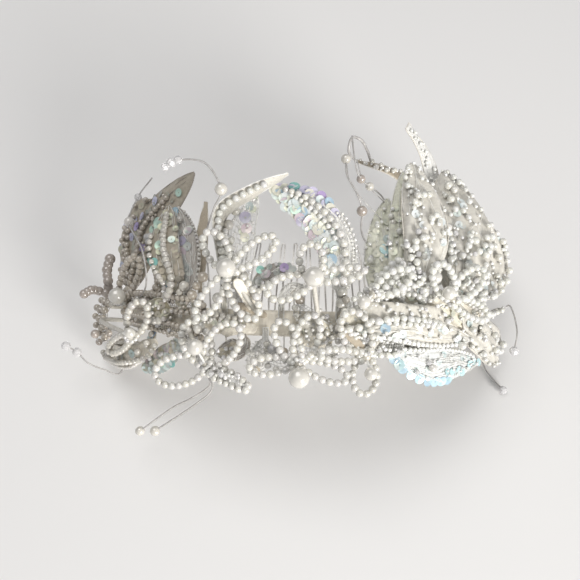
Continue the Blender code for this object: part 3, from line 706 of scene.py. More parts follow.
    "leaf_right_pale": leafOf(28, 1, 14, "paleSheer", (400, 280, 7), (406, 228, 10), (404, 172, 14),
        tone="snow", stalk=0.15, roll=-8, pleat=(0.65, 2.5), threads=(12, 0.1, 0.9),
        rows=((0.9, 0.05, 0.9, 2, 1.6, 1.6, "seed"), (0, 0, 0.16, 3, 3)),
        strewn=((40, "seed", 1.2, 2.2, 0.05, 0.9), (16, "cream", 3, 4.2, 0.2, 0.95, 0.8),
        (12, "string", 2.4, 3.2, 0.05, 0.7), (6, "crystal", 2, 3, 0.05, 0.5)),
        sewn=((408, 231, 4, "crystal"), (414, 204, 3.6, "pearl"), (417, 253, 5.6, "pearl"))),
    "leaf_right_beaded": leafOf(35, 1, 20, "greySheer", (424, 270, 14), (427, 225, 20), (412, 163, 23),
        tone="snow", stalk=0.15, roll=-8, pleat=(0.8, 3), threads=(20, 0.05, 0.9),
        rows=((-0.9, 0.9, 1, 2.4, 2.2, 1.1), (0, 0, 0.16, 3.2, 3.2), (1, 0, 0.16, 2.8, 2.8),
        (-1, 0, 0.16, 2.8, 2.8)), strewn=((26, "string", 2.4, 3.6, 0.06, 0.5, 0.95),
        (12, "string", 2.2, 3.2, 0.5, 0.98, 0.9), (40, "seed", 1.2, 2.2, 0.05, 0.6),
        (24, "seed", 1, 1.8, 0.6), (7, "crystal", 2, 3.2, 0.05, 0.6, 0.9),
        (10, "white", 3, 4, 0.15, 0.7, 0.8)), sewn=((432, 275, 5.6, "pearl"), (427, 197, 3.2, "pearl"),
        (417, 198, 3.4, "pearl"), (414, 204, 3.2, "pearl"))),
    "leaf_right_horn": leafOf(40, 1, 7, "clearSheer", (437, 260, 5), (435, 200, 8), (428, 160, 18),
        (408, 126, 30), tone="snow", stalk=0.35, roll=-25, blunt=0.88, pleat=(0.15, 2),
        strewn=((22, "seed", 1.2, 1.8, 0.5, 0.98, 0.6), (20, "seed", 1.4, 2.2, 0.1, 0.5))),
    "leaf_right_back": leafOf(44, 1, 7, "beige", (448, 272, 2), (440, 215, 2), (398, 175, 3), (357, 161, 5),
        pleat=(0.2, 2), strewn=((24, "seed", 1.2, 1.8, 0.55), (10, "string", 2, 2.6, 0.7, 0.95))),
    "leaf_right_broad": leafOf(54, 1, 27, "greySheer", (461, 280, 12), (464, 230, 17), (444, 171, 19),
        tone="snow", stalk=0.15, roll=-20, pleat=(0.8, 4), threads=(24, 0.05, 0.9),
        rows=((0.88, 0.3, 0.98, 2.8, 2.2, 3.2), (-0.5, 0.05, 0.6, 3.2, 2.8, 1.25), (0, 0, 0.16, 3.2, 3.2),
        (1, 0, 0.14, 3, 3), (-1, 0, 0.14, 3, 3)), strewn=((46, "string", 2.6, 3.8, 0.06, 0.56, 0.95),
        (9, "string", 2.2, 3.4, 0.56, 0.98, 0.8), (56, "seed", 1.2, 2.2, 0.05, 0.6),
        (26, "seed", 1, 1.8, 0.6), (8, "crystal", 2, 3.2, 0.05, 0.6, 0.9),
        (14, "white", 3, 4.2, 0.15, 0.8, 0.8)), sewn=((447, 189, 4.2, "pearl"), (452, 180, 3),
        (453, 193, 3.4, "pearl"), (450, 202, 3.6, "pearl"), (468, 204, 3), (462, 213, 3),
        (447, 230, 4.2, "pearl"))),
    "leaf_right_rim": leafOf(58, 1, 16, "greySheer", (473, 284, 4), (482, 243, 4), (461, 186, 6),
        tone="snow", stalk=0.15, roll=-8, pleat=(0.65, 3), rows=((0.86, 0.3, 0.98, 2.6, 2.2, 3),
        (0, 0, 0.16, 3.2, 3.2)), strewn=((16, "string", 2.4, 3.4, 0.06, 0.7, 0.95),
        (40, "seed", 1.2, 2.2, 0.05))),
    "leaf_right_ear": leafOf(62, 1, 23, "greySheer", (480, 298, 10), (491, 262, 15), (474, 217, 18),
        tone="snow", roll=-20, pleat=(0.8, 3), threads=(16, 0.05, 0.9),
        rows=((0.88, 0.2, 0.98, 3.2, 2.4, 2.4), (0, 0, 0.2, 3.2, 3.2), (1, 0, 0.2, 3, 3),
        (-1, 0, 0.2, 3, 3)), strewn=((34, "string", 2.6, 3.8, 0.06, 0.7, 0.95),
        (40, "seed", 1.2, 2.2, 0.05, 0.8), (7, "crystal", 2, 3.2, 0.05, 0.7, 0.9),
        (10, "white", 3, 4, 0.15, 0.9, 0.8)), sewn=((495, 257, 3.8, "pearl"), (485, 238, 3.4, "pearl"),
        (483, 255, 3))),
    "leaf_right_side": leafOf(68, -0.4, 16, "greySheer", (476, 335, 10), (489, 344, 13), (498, 364, 14),
        tone="snow", pleat=(0.65, 3), threads=(18, 0.05, 0.9), rows=((0, 0, 0.2, 3, 3),
        (0.85, 0.3, 0.9, 2.6, 2.2, 3)), strewn=((9, "string", 2.8, 3.8, 0.1, 0.95, 0.8),
        (14, "seed", 1.2, 2.2, 0.05), (3, "crystal", 2, 3, 0.1, 0.9, 0.9))),
}


def halfWidth(leaf, share):
    stalk, narrow = leaf["stalk"], leafForm["stalkWidth"] / 2
    if share <= stalk:
        return narrow
    blade = (share - stalk) / (1 - stalk)
    least = narrow + (leafForm["tipWidth"] / 2 - narrow) * blade
    swell = math.sin(math.pi * min(leaf.get("blunt", 1), blade)) ** 0.65
    return max(least, leaf["width"] * mm / 2 * swell)


def leafStations(leaf, count=96):
    angle, side = leaf["root"]
    root = bandTop(angle, 0.35 * side, chart["gap"] + leafForm["thick"] * 0.6)
    edge = bandTop(angle, 0.9 * side, chart["gap"] + leafForm["thick"] * 0.9)
    rough = smoothLine([root, edge, *[charted(place) for place in leaf["way"]]], 60)
    line = spaced(rough, evenShares(count + 1))
    stations = []
    for i, point in enumerate(line):
        share = i / count
        axis = (line[min(count, i + 2)] - line[max(0, i - 2)]).normalized()
        turned = min(1, share / leaf["stalk"])
        across, facing = acrossFrame(point, axis, 1 - turned * (1 - leafForm["hug"]), leaf["roll"] * turned)
        stations.append((point, across, facing, axis, halfWidth(leaf, share), turned))
    return stations


def leafPoint(stations, share, side, above=0):  # a place on the blade, with its (across, facing, axis)
    spot = max(0, min(1, share)) * (len(stations) - 1)
    k = min(int(spot), len(stations) - 2)
    near, far, t = stations[k], stations[k + 1], spot - k
    point, across, facing, axis = (near[i].lerp(far[i], t) for i in range(4))
    half = near[4] + (far[4] - near[4]) * t
    turned = near[5] + (far[5] - near[5]) * t
    facing = (facing + across * side * leafForm["cup"] * 1.2 * turned).normalized()
    fall = side * side * half * leafForm["cup"] * turned
    place = point + across * side * half - near[2].lerp(far[2], t) * fall + facing * above
    return place, across, facing, axis


def nearestOnLeaf(stations, across, down):  # the blade place that shows nearest to a chart place
    def miss(place):
        point = leafPoint(stations, *place)[0]
        x, y = chartOf(point)
        return math.hypot(x - across, y - down) + (point - eye).length * 40

    best = min(((i / 30, j / 3) for i in range(31) for j in range(-3, 4)), key=miss)
    for step in (1 / 60, 1 / 180):
        near = [(best[0] + i * step, best[1] + j * step * 8) for i in range(-2, 3) for j in range(-2, 3)]
        best = min(((min(1, max(0, a)), min(1, max(-1, b))) for a, b in near), key=miss)
    return best


def sewOn(stations, share, side, size, kind, tone="plain", lift=0):
    if kind in shapes and kind != "sequin":
        above = leafForm["cloth"] / 2 + size * mm * leafForm["pearlSeat"] + lift
        point, across, facing, axis = leafPoint(stations, share, side, above)
        # The tone's painted shade multiplies the pearl's colour.
        return copyOf(shapes[kind], placed(point, size * mm, facing, axis), pearlTint(0.05, tonesAndPaintedShade[tone]))
    above = leafForm["cloth"] / 2 + size * mm * leafForm["sequinSeat"] + lift
    point, across, facing, axis = leafPoint(stations, share, side, above)
    tilt = (facing + axis * dice.uniform(-0.3, 0.1) + across * dice.uniform(-0.2, 0.2)).normalized()
    glint = scaled(glints[kind], dice.uniform(*leafForm["sequinLevels"]))
    return copyOf(shapes["sequin"], placed(point, size * mm, axis, tilt), glint)


# Things side by side along a blade.
def sewRow(stations, length, tone, side, start, end, first, last, spacing=1, kind="string"):
    share, things = start, []
    while share < end:
        size = first + (last - first) * (share - start) / (end - start)
        drift = dice.uniform(-leafForm["rowDrift"], leafForm["rowDrift"])
        own = size * dice.uniform(*leafForm["rowSizes"])
        things.append(sewOn(stations, share, side + drift, own, kind, tone))
        share += size * mm * spacing / length
    return things


# Things scattered over part of a blade.
def strew(stations, tone, count, kind, least, most, start=0, end=1, side=1, other=None):
    low, high = (-side, side) if other is None else (side, other)
    things = []
    for k in range(count):
        share = start + (end - start) * (k + dice.random()) / count
        lift = dice.uniform(*leafForm["strewnLift"]) * mm
        side = dice.uniform(low, high)
        things.append(sewOn(stations, share, side, dice.uniform(least, most), kind, tone, lift))
    return things


def sewnRows(stations, length, piece):
    return [thing for row in piece["rows"] for thing in sewRow(stations, length, piece["tone"], *row)]


def strewnOver(stations, piece):
    return [thing for spread in piece["strewn"] for thing in strew(stations, piece["tone"], *spread)]


def looseThreads(stations, count, start, end):  # fine threads drawn over a blade
    lines = []
    for k in range(count):
        share, side = dice.uniform(start, end), dice.uniform(-0.95, 0.95)
        reach, slant = dice.uniform(0.08, 0.3), dice.uniform(-0.6, 0.6)
        bow = dice.uniform(0.15, 0.9) * mm
        line = []
        for t in evenShares(6):
            above = leafForm["cloth"] / 2 + bow * math.sin(math.pi * t)
            beside = max(-1, min(1, side + slant * t))
            line.append(leafPoint(stations, min(1, share + reach * t), beside, above)[0])
        lines.append(line)
    return lines


def fringeThreads(stations, side, start, end, count, reach):  # thread ends that stand past an edge
    lines = []
    for k in range(count):
        share = start + (end - start) * (k + dice.random()) / count
        inner = leafPoint(stations, share, side * 0.4, 0.4 * mm)[0]
        edge, across, facing, axis = leafPoint(stations, share + dice.uniform(-0.03, 0.03), side, 0.3 * mm)
        away = across * side + axis * dice.uniform(-0.8, 0.5) + facing * dice.uniform(-0.1, 0.3)
        lines.append([inner, edge, edge + away.normalized() * reach * mm * dice.uniform(0.3, 1)])
    return lines


nets = {"net": "netThread", "brownNet": "brownThread", "whiteNet": "thread"}
edgeThreads = {"greige": "brownThread", **{
    cloth: "netThread" for cloth in ("brownSheer", "olive", "greySheer", "clearSheer", "beige")}}


def clothBlade(name, stations, cloth, along, across, pleat):
    net = nets.get(cloth)
    height, waves = pleat

    def move(x, y):
        share = 1 - (0.5 - x / 2) ** 1.25
        if net:
            share = max(0, min(1, share + 0.05 * abs(y)))
        ruffle = leafForm["ruffle"] * math.sin(share * leafForm["rippleWaves"] + y * 2) * y * y
        sway = leafForm["foldSway"] * math.sin(share * 5)
        fold = height * mm * math.cos(y * waves * math.pi + sway) * (1 - share**4)
        return leafPoint(stations, share, y, ruffle + fold)[0]

    blade = bentGrid(name, along, across, move, net or cloth)
    if net:
        applied(blade, "WIREFRAME", thickness=leafForm["netWire"], use_replace=True, use_even_offset=False)
        return finished(blade, name, net)
    applied(blade, "SOLIDIFY", thickness=leafForm["cloth"], offset=0)
    return finished(blade, name, cloth)


def leafEdge(name, leaf, stations):
    shares = evenShares(leafForm["edgeSteps"])
    outline = [leafPoint(stations, share, 1)[0] for share in shares]
    outline += [leafPoint(stations, share, -1)[0] for share in shares[::-1]]
    stitches = max(20, round(lineLength(outline) / leafForm["stitch"]))
    line = spaced(outline, evenShares(stitches * 2))
    thickness = leafForm["edge"] * (leafForm["picot"] if "picot" in leaf else 1)
    thread = edgeThreads.get(leaf["cloth"], "thread")
    return wire(name + "Edge", [line], thickness, thread, 1, [0.55, 1], True)


def makeLeaf(node, leaf):
    name = camel(node)
    stations = leafStations(leaf)
    length = lineLength([station[0] for station in stations])
    tone = leaf["tone"]
    cells = leafForm["netCells" if leaf["cloth"] in nets else "cells"]
    things = [clothBlade(name, stations, leaf["cloth"], *cells, leaf["pleat"])]
    things.append(leafEdge(name, leaf, stations))
    # Loose threads on leaves with the darkest tone are brown: painted shade.
    thread = "brownThread" if tone == "taupe" else "thread"
    lines = looseThreads(stations, *leaf["threads"]) if "threads" in leaf else []
    if "fringe" in leaf:
        lines += fringeThreads(stations, *leaf["fringe"])
    if lines:
        things.append(wire(name + "Threads", lines, leafForm["looseWire"], thread, 0))
    things += sewnRows(stations, length, leaf)
    for side, start, end, size, colours in leaf["scales"]:
        share, k = start, 0
        while share < end:
            lift = leafForm["scaleLift"] * (k % 2)
            things.append(sewOn(stations, share, side, size, colours[k % len(colours)], lift=lift))
            share += size * mm * leafForm["scaleGap"] / length
            k += 1
    things += strewnOver(stations, leaf)
    for across, down, size, *other in leaf["sewn"]:
        kind = other[0] if other else "string"
        share, side = nearestOnLeaf(stations, across, down)
        things.append(sewOn(stations, share, side, size, kind, tone, leafForm["sewnLift"]))
    settle(joined(name, things), "leaf_net", node)


for node, leaf in leaves.items():
    makeLeaf(node, leaf)
print("leaves made")

# Flowers: hub, stem, centre pearl and strings of pearls bent into loops. Each loop is (tip, width, pinch).
flowerForm = {"bead": 3 * mm, "pitch": 3.12 * mm, "swell": (1.09, 1.15), "hug": 0.3, "hub": 6 * mm,
              "stem": 2.4 * mm, "post": 1 * mm, "string": 0.5 * mm, "ring": 9, "ringRadius": 0.42}
flowers = {
    "crest_left": dict(hub=(229, 271, 20), stem=(-10.5, 0.8), pearl=8, pearlAt=(226, 268, 27),
        loops=(((205, 229, 27), 12, 0.3), ((278, 236, 26), 10.5, 0.8), ((195, 321, 19), 10, 0.6),
        ((257, 322, 15), 12.5, 0.2))),
    "crest_middle": dict(hub=(313, 279, 19), stem=(4, 0.8), pearl=8.3, pearlAt=(314, 277, 26),
        loops=(((310, 240, 26), 12.5, 0.2), ((264, 295, 20), 12, 0.3), ((368, 270, 24), 8, 0.2))),
    "brow_middle": dict(hub=(298, 363, 9), stem=(-2, -0.8), pearl=8.8, pearlAt=(299, 378, 15),
        loops=(((277, 318, 13), 12, 0.1), ((316, 312, 14), 12.5, 0.1), ((246, 368, 12), 10, 0.6),
        ((351, 380, 14), 10, 0.6))),
    "brow_right": dict(hub=(366, 357, 9), stem=(20.5, -0.9), pearl=5.6, pearlAt=(371, 374, 16),
        loops=(((347, 309, 15), 15, 0.2), ((363, 398, 13), 13, 0.1), ((316, 354, 17), 7.8, 0.2))),
    "brow_left": dict(hub=(206, 365, 8), stem=(-29, -0.8), pearl=7, pearlAt=(195, 347, 16),
        loops=(((187, 319, 12), 14.5, 0.1), ((152, 376, 16), 15.5, 0.2), ((239, 323, 15), 15.5, 0.1),
        ((252, 391, 12), 7.8, 0.1))),
    "temple_left": dict(hub=(131, 336, 17), stem=(-66, -0.5), pearl=5, pearlAt=(130, 333, 20.5),
        tone="grey", loops=(((144, 299, 20), 12, 0.2), ((108, 352, 18), 9, 0.1))),
    "ear_left": dict(hub=(121, 300, 10), stem=(-76, 0.6), pearl=8.2, pearlAt=(117, 296, 14), tone="taupe",
        loops=(((138, 254, 14), 11, 0.2),)),
    "crest_right": dict(hub=(374, 294, 14), stem=(15, 0.9), pearl=5.5, pearlAt=(364, 302, 19), tone="snow",
        loops=(((414, 270, 22), 11, 0.3), ((404, 258, 17), 7.8, 0.1))),
    "temple_right": dict(hub=(452, 300, 15), stem=(49, 0.9), pearl=6, pearlAt=(449, 293, 20), tone="snow",
        loops=(((436, 262, 24), 12, 0.3), ((485, 268, 23), 12, 0.3), ((490, 318, 19), 10, 0.3))),
}


def loopLine(hub, loop):
    place, width, pinch = loop
    tip, bead = charted(place), flowerForm["bead"]
    axis = (tip - hub).normalized()
    length = (tip - hub).length - bead / 2
    side, _ = acrossFrame((hub + tip) / 2, axis, flowerForm["hug"])
    turns = [math.radians(degree) for degree in range(1, 360)]
    swing = [math.sin(turn) * math.sin(turn / 2) ** pinch for turn in turns]
    half = (width * mm - bead) / 2 / max(swing)
    apart = bead / 2 + chart["gap"]
    line = [hub + side * apart + axis * bead / 4]
    for turn, wide in zip(turns, swing):
        forth = length * (1 - math.cos(turn)) / 2
        if abs(wide) * half > apart or forth > length * 0.7:
            line.append(hub + axis * forth + side * wide * half)
    line.append(hub - side * apart + axis * bead / 4)
    return line


def strung(line, tone="plain"):  # pearls threaded along a line
    count = round(lineLength(line) / flowerForm["pitch"])
    points = spaced(line, [(i + 0.5) / count for i in range(count)])
    things = []
    for i, point in enumerate(points):
        axis = (points[min(i + 1, count - 1)] - points[max(i - 1, 0)]).normalized()
        size = flowerForm["bead"] * dice.uniform(*flowerForm["swell"])
        # The tone's painted shade multiplies each pearl's colour.
        tint = pearlTint(0.05, tonesAndPaintedShade[tone])
        things.append(copyOf(shapes["string"], placed(point, size, axis.orthogonal(), axis), tint))
    return things


def makeFlower(key, flower):
    name = camel("flower_" + key)
    hub = charted(flower["hub"])
    foot = bandTop(*flower["stem"], chart["gap"] + 0.15 * mm)
    rise = foot + outward(foot) * (hub - foot).length * 0.35
    stem = smoothLine([foot, rise, hub], 24)
    things = [wire(name, [stem], flowerForm["stem"] * 0.95, "ivory", 2, [1, 0.9])]
    lines = [loopLine(hub, loop) for loop in flower["loops"]]
    for i, line in enumerate(lines):
        string = spaced(line, evenShares(70))
        things.append(wire(f"{name}String{i}", [string], flowerForm["string"], "thread", 0))
        things += strung(line, flower.get("tone", "plain"))
    pearl = flower["pearl"] * mm
    lean = charted(flower["pearlAt"]) - hub
    reach = max(lean.length, flowerForm["hub"] / 2 + chart["gap"] + pearl / 2)
    lean.normalize()
    centre = hub + lean * reach
    things.append(wire(name + "Post", [[hub, centre - lean * pearl * 0.45]], flowerForm["post"], "thread", 1))
    things.append(copyOf(shapes["pearl"], placed(hub, flowerForm["hub"] * 0.7), (0.95, 0.93, 0.88)))
    side = lean.orthogonal().normalized()
    for k in range(flowerForm["ring"]):  # a ring of seed pearls round the hub
        spin = Quaternion(lean, math.radians(360 / flowerForm["ring"] * k + dice.uniform(-8, 8)))
        ring = (spin @ side) * flowerForm["hub"] * flowerForm["ringRadius"]
        point = hub + ring + lean * dice.uniform(-0.2, 1.1) * mm
        kind = "crystal" if k % 3 == 2 else "seed"
        things.append(copyOf(shapes[kind], placed(point, dice.uniform(1.7, 2.3) * mm), pearlTint()))
    settle(joined(name, things), "pearl_string", "flower_" + key)

    big = copyOf(shapes["pearl"], placed(centre, pearl), (1, 1, 1))
    applied(big, "SUBSURF", levels=1, render_levels=1)
    settle(joined(camel("pearl_" + key), [big]), "pearl", "pearl_" + key)


for key, flower in flowers.items():
    makeFlower(key, flower)
print("flowers made")

# Sprays: knots with nylon stalks and pearls. A stalk is its places and its beads (place on it, mm, kind).
sprayForm = {"nylon": 0.75 * mm, "knot": 2.4 * mm, "strand": 0.45 * mm, "loop": 1.3 * mm}
sprays = {
    "crest_left": dict(at=(-24.5, 0.8), stalks=(
        (((208, 268, 8), (206, 235, 14), (214, 208, 27), (221, 189, 36), (205, 163, 42), (178, 160, 44),
          (165, 167, 45)),
         ((4, 5.2, "pearl"), (6, 3.6, "crystal"), (6.45, 3.9, "crystal"), (7, 3.4, "crystal"))),)),
    "left": dict(at=(-60, 0.9), stalks=(
        (((146, 285, 13), (142, 250, 18), (129, 222, 19), (138, 197, 20), (152, 178, 24)),
         ((3, 4.8, "pearl"), (4, 3.6, "crystal"))),)),
    "temple_left": dict(at=(-73, -0.9), stalks=(
        (((128, 350, 4), (120, 373, 10), (105, 370, 17), (88, 363, 25), (77, 352, 29), (66, 346, 34)),
         ((5, 4.6, "crystal"), (6, 4.4, "crystal"))),
        (((122, 345, 2), (106, 341, 5), (99, 342, 18), (95, 334, 22)),
         ((3, 3.4, "smoky"), (4, 4.2, "smoky"))))),
    "brow_left": dict(flower="brow_left", stalks=(
        (((209, 386, 5), (190, 399, 8), (172, 408, 11), (140, 431, 18)), ((4, 4.4, "pearl"),)),
        (((212, 389, 9), (196, 404, 13), (155, 431, 22)), ((3, 4.4, "pearl"),)))),
    "ear_left": dict(flower="ear_left", stalks=(
        (((109, 292, 15), (108, 281, 17), (107, 270, 18), (110, 259, 18)),
         ((1, 5.0, "smoky"), (1.5, 4.6, "smoky"), (2, 4.8, "smoky"), (2.5, 4.6, "smoky"), (3, 5.0, "smoky"),
          (3.5, 4.8, "smoky"), (4, 5.2, "smoky"))),
        (((99, 291, 20), (91, 290, 24), (84, 294, 27)),
         ((0.5, 4.6, "smoky"), (1, 4.4, "smoky"), (1.5, 4.4, "smoky"), (2, 4.4, "smoky"), (2.5, 4.2, "smoky"),
          (3, 4.4, "smoky"))))),
    "right_back": dict(at=(24.5, 0.8), strands=(
        ((346, 159, 18), (350, 182, 15), (364, 201, 11), (381, 219, 5)),
        ((357, 160, 20), (364, 181, 15), (385, 203, 6)),
        ((357, 162, 6), (349, 152, 14), (352, 138, 20), (361, 140, 20), (367, 150, 14), (371, 162, 5))),
        stalks=(
        (((376, 262, 0.8), (362, 234, 1), (362, 211, 7), (358, 196, 12), (347, 175, 16), (346, 159, 18)),
         ((3, 4.8, "smoky"), (6, 4.4, "pearl"))),
        (((393, 262, 1), (390, 225, 1), (383, 198, 3), (361, 179, 19), (355, 160, 24), (352, 136, 26)),
         ((3.6, 3.9, "pearl"), (4, 3.9, "smoky"))))),
    "right": dict(at=(75, 0.3), stalks=(
        (((500, 312, 14), (510, 306, 20), (517, 330, 25), (514, 351, 25)), ((4, 4.4, "crystal"),)),
        (((480, 345, 2), (484, 366, 6), (492, 378, 14), (503, 390, 19)), ((4, 4.2, "crystal"),)))),
}


def makeSpray(key, spray):
    name = camel("spray_" + key)
    first = spray["stalks"][0][0][0]
    if "flower" in spray:
        hub = charted(flowers[spray["flower"]]["hub"])
        reach = flowerForm["hub"] / 2 + chart["gap"] + sprayForm["knot"] / 2
        knot = hub + (charted(first) - hub).normalized() * reach
    else:
        knot = bandTop(*spray["at"], chart["gap"] + sprayForm["knot"] / 2)
    things = []
    for i, (places, pearls) in enumerate(spray["stalks"]):
        way = [knot, *[charted(place) for place in places]]
        line = smoothLine(way, 12 * len(places))
        things.append(wire(f"{name}Stalk{i}", [line], sprayForm["nylon"], "nylon", 1))
        for place, size, kind in pearls:
            smoky = kind == "smoky"
            shape = shapes["pearl" if smoky else kind]
            onward = routePoint(way, min(place + 0.05, len(places)))
            axis = (onward - routePoint(way, place - 0.05)).normalized()
            matrix = placed(routePoint(way, place), size * mm, axis.orthogonal(), axis)
            # Pearls of this kind get a darker brown-grey colour: painted shade on pearls that lie away from
            # the light.
            things.append(copyOf(shape, matrix, (0.62, 0.56, 0.54) if smoky else pearlTint(0.03)))
    for i, places in enumerate(spray.get("strands", ())):
        line = smoothLine([charted(place) for place in places], 12 * len(places))
        thick = sprayForm["loop"] if i == 2 else sprayForm["strand"]
        things.append(wire(f"{name}Strand{i}", [line], thick, "nylon", 1))
    things.append(copyOf(shapes["string"], placed(knot, sprayForm["knot"]), (0.8, 0.78, 0.74), "thread"))
    settle(joined(name, things), "nylon", "spray_" + key)


for key, spray in sprays.items():
    makeSpray(key, spray)
print("sprays made")

# Trims: narrow strips of net and satin with small pearls that hide the band and the leaves' stalks.
trimForm = {"cell": 1.3 * mm, "netAcross": 5, "cells": (40, 6), "hug": 0.6, "endWidth": 0.3, "endSteps": 8,
            "thread": 0.6 * mm, "bandDown": (314, 336), "foot": 2.6}


def trimOf(cloth, width, *way, **more):
    own = {"cloth": cloth, "width": width, "way": way, "tone": "plain", "pleat": (0.1, 1)}
    return {**own, "rows": (), "strewn": (), **more}


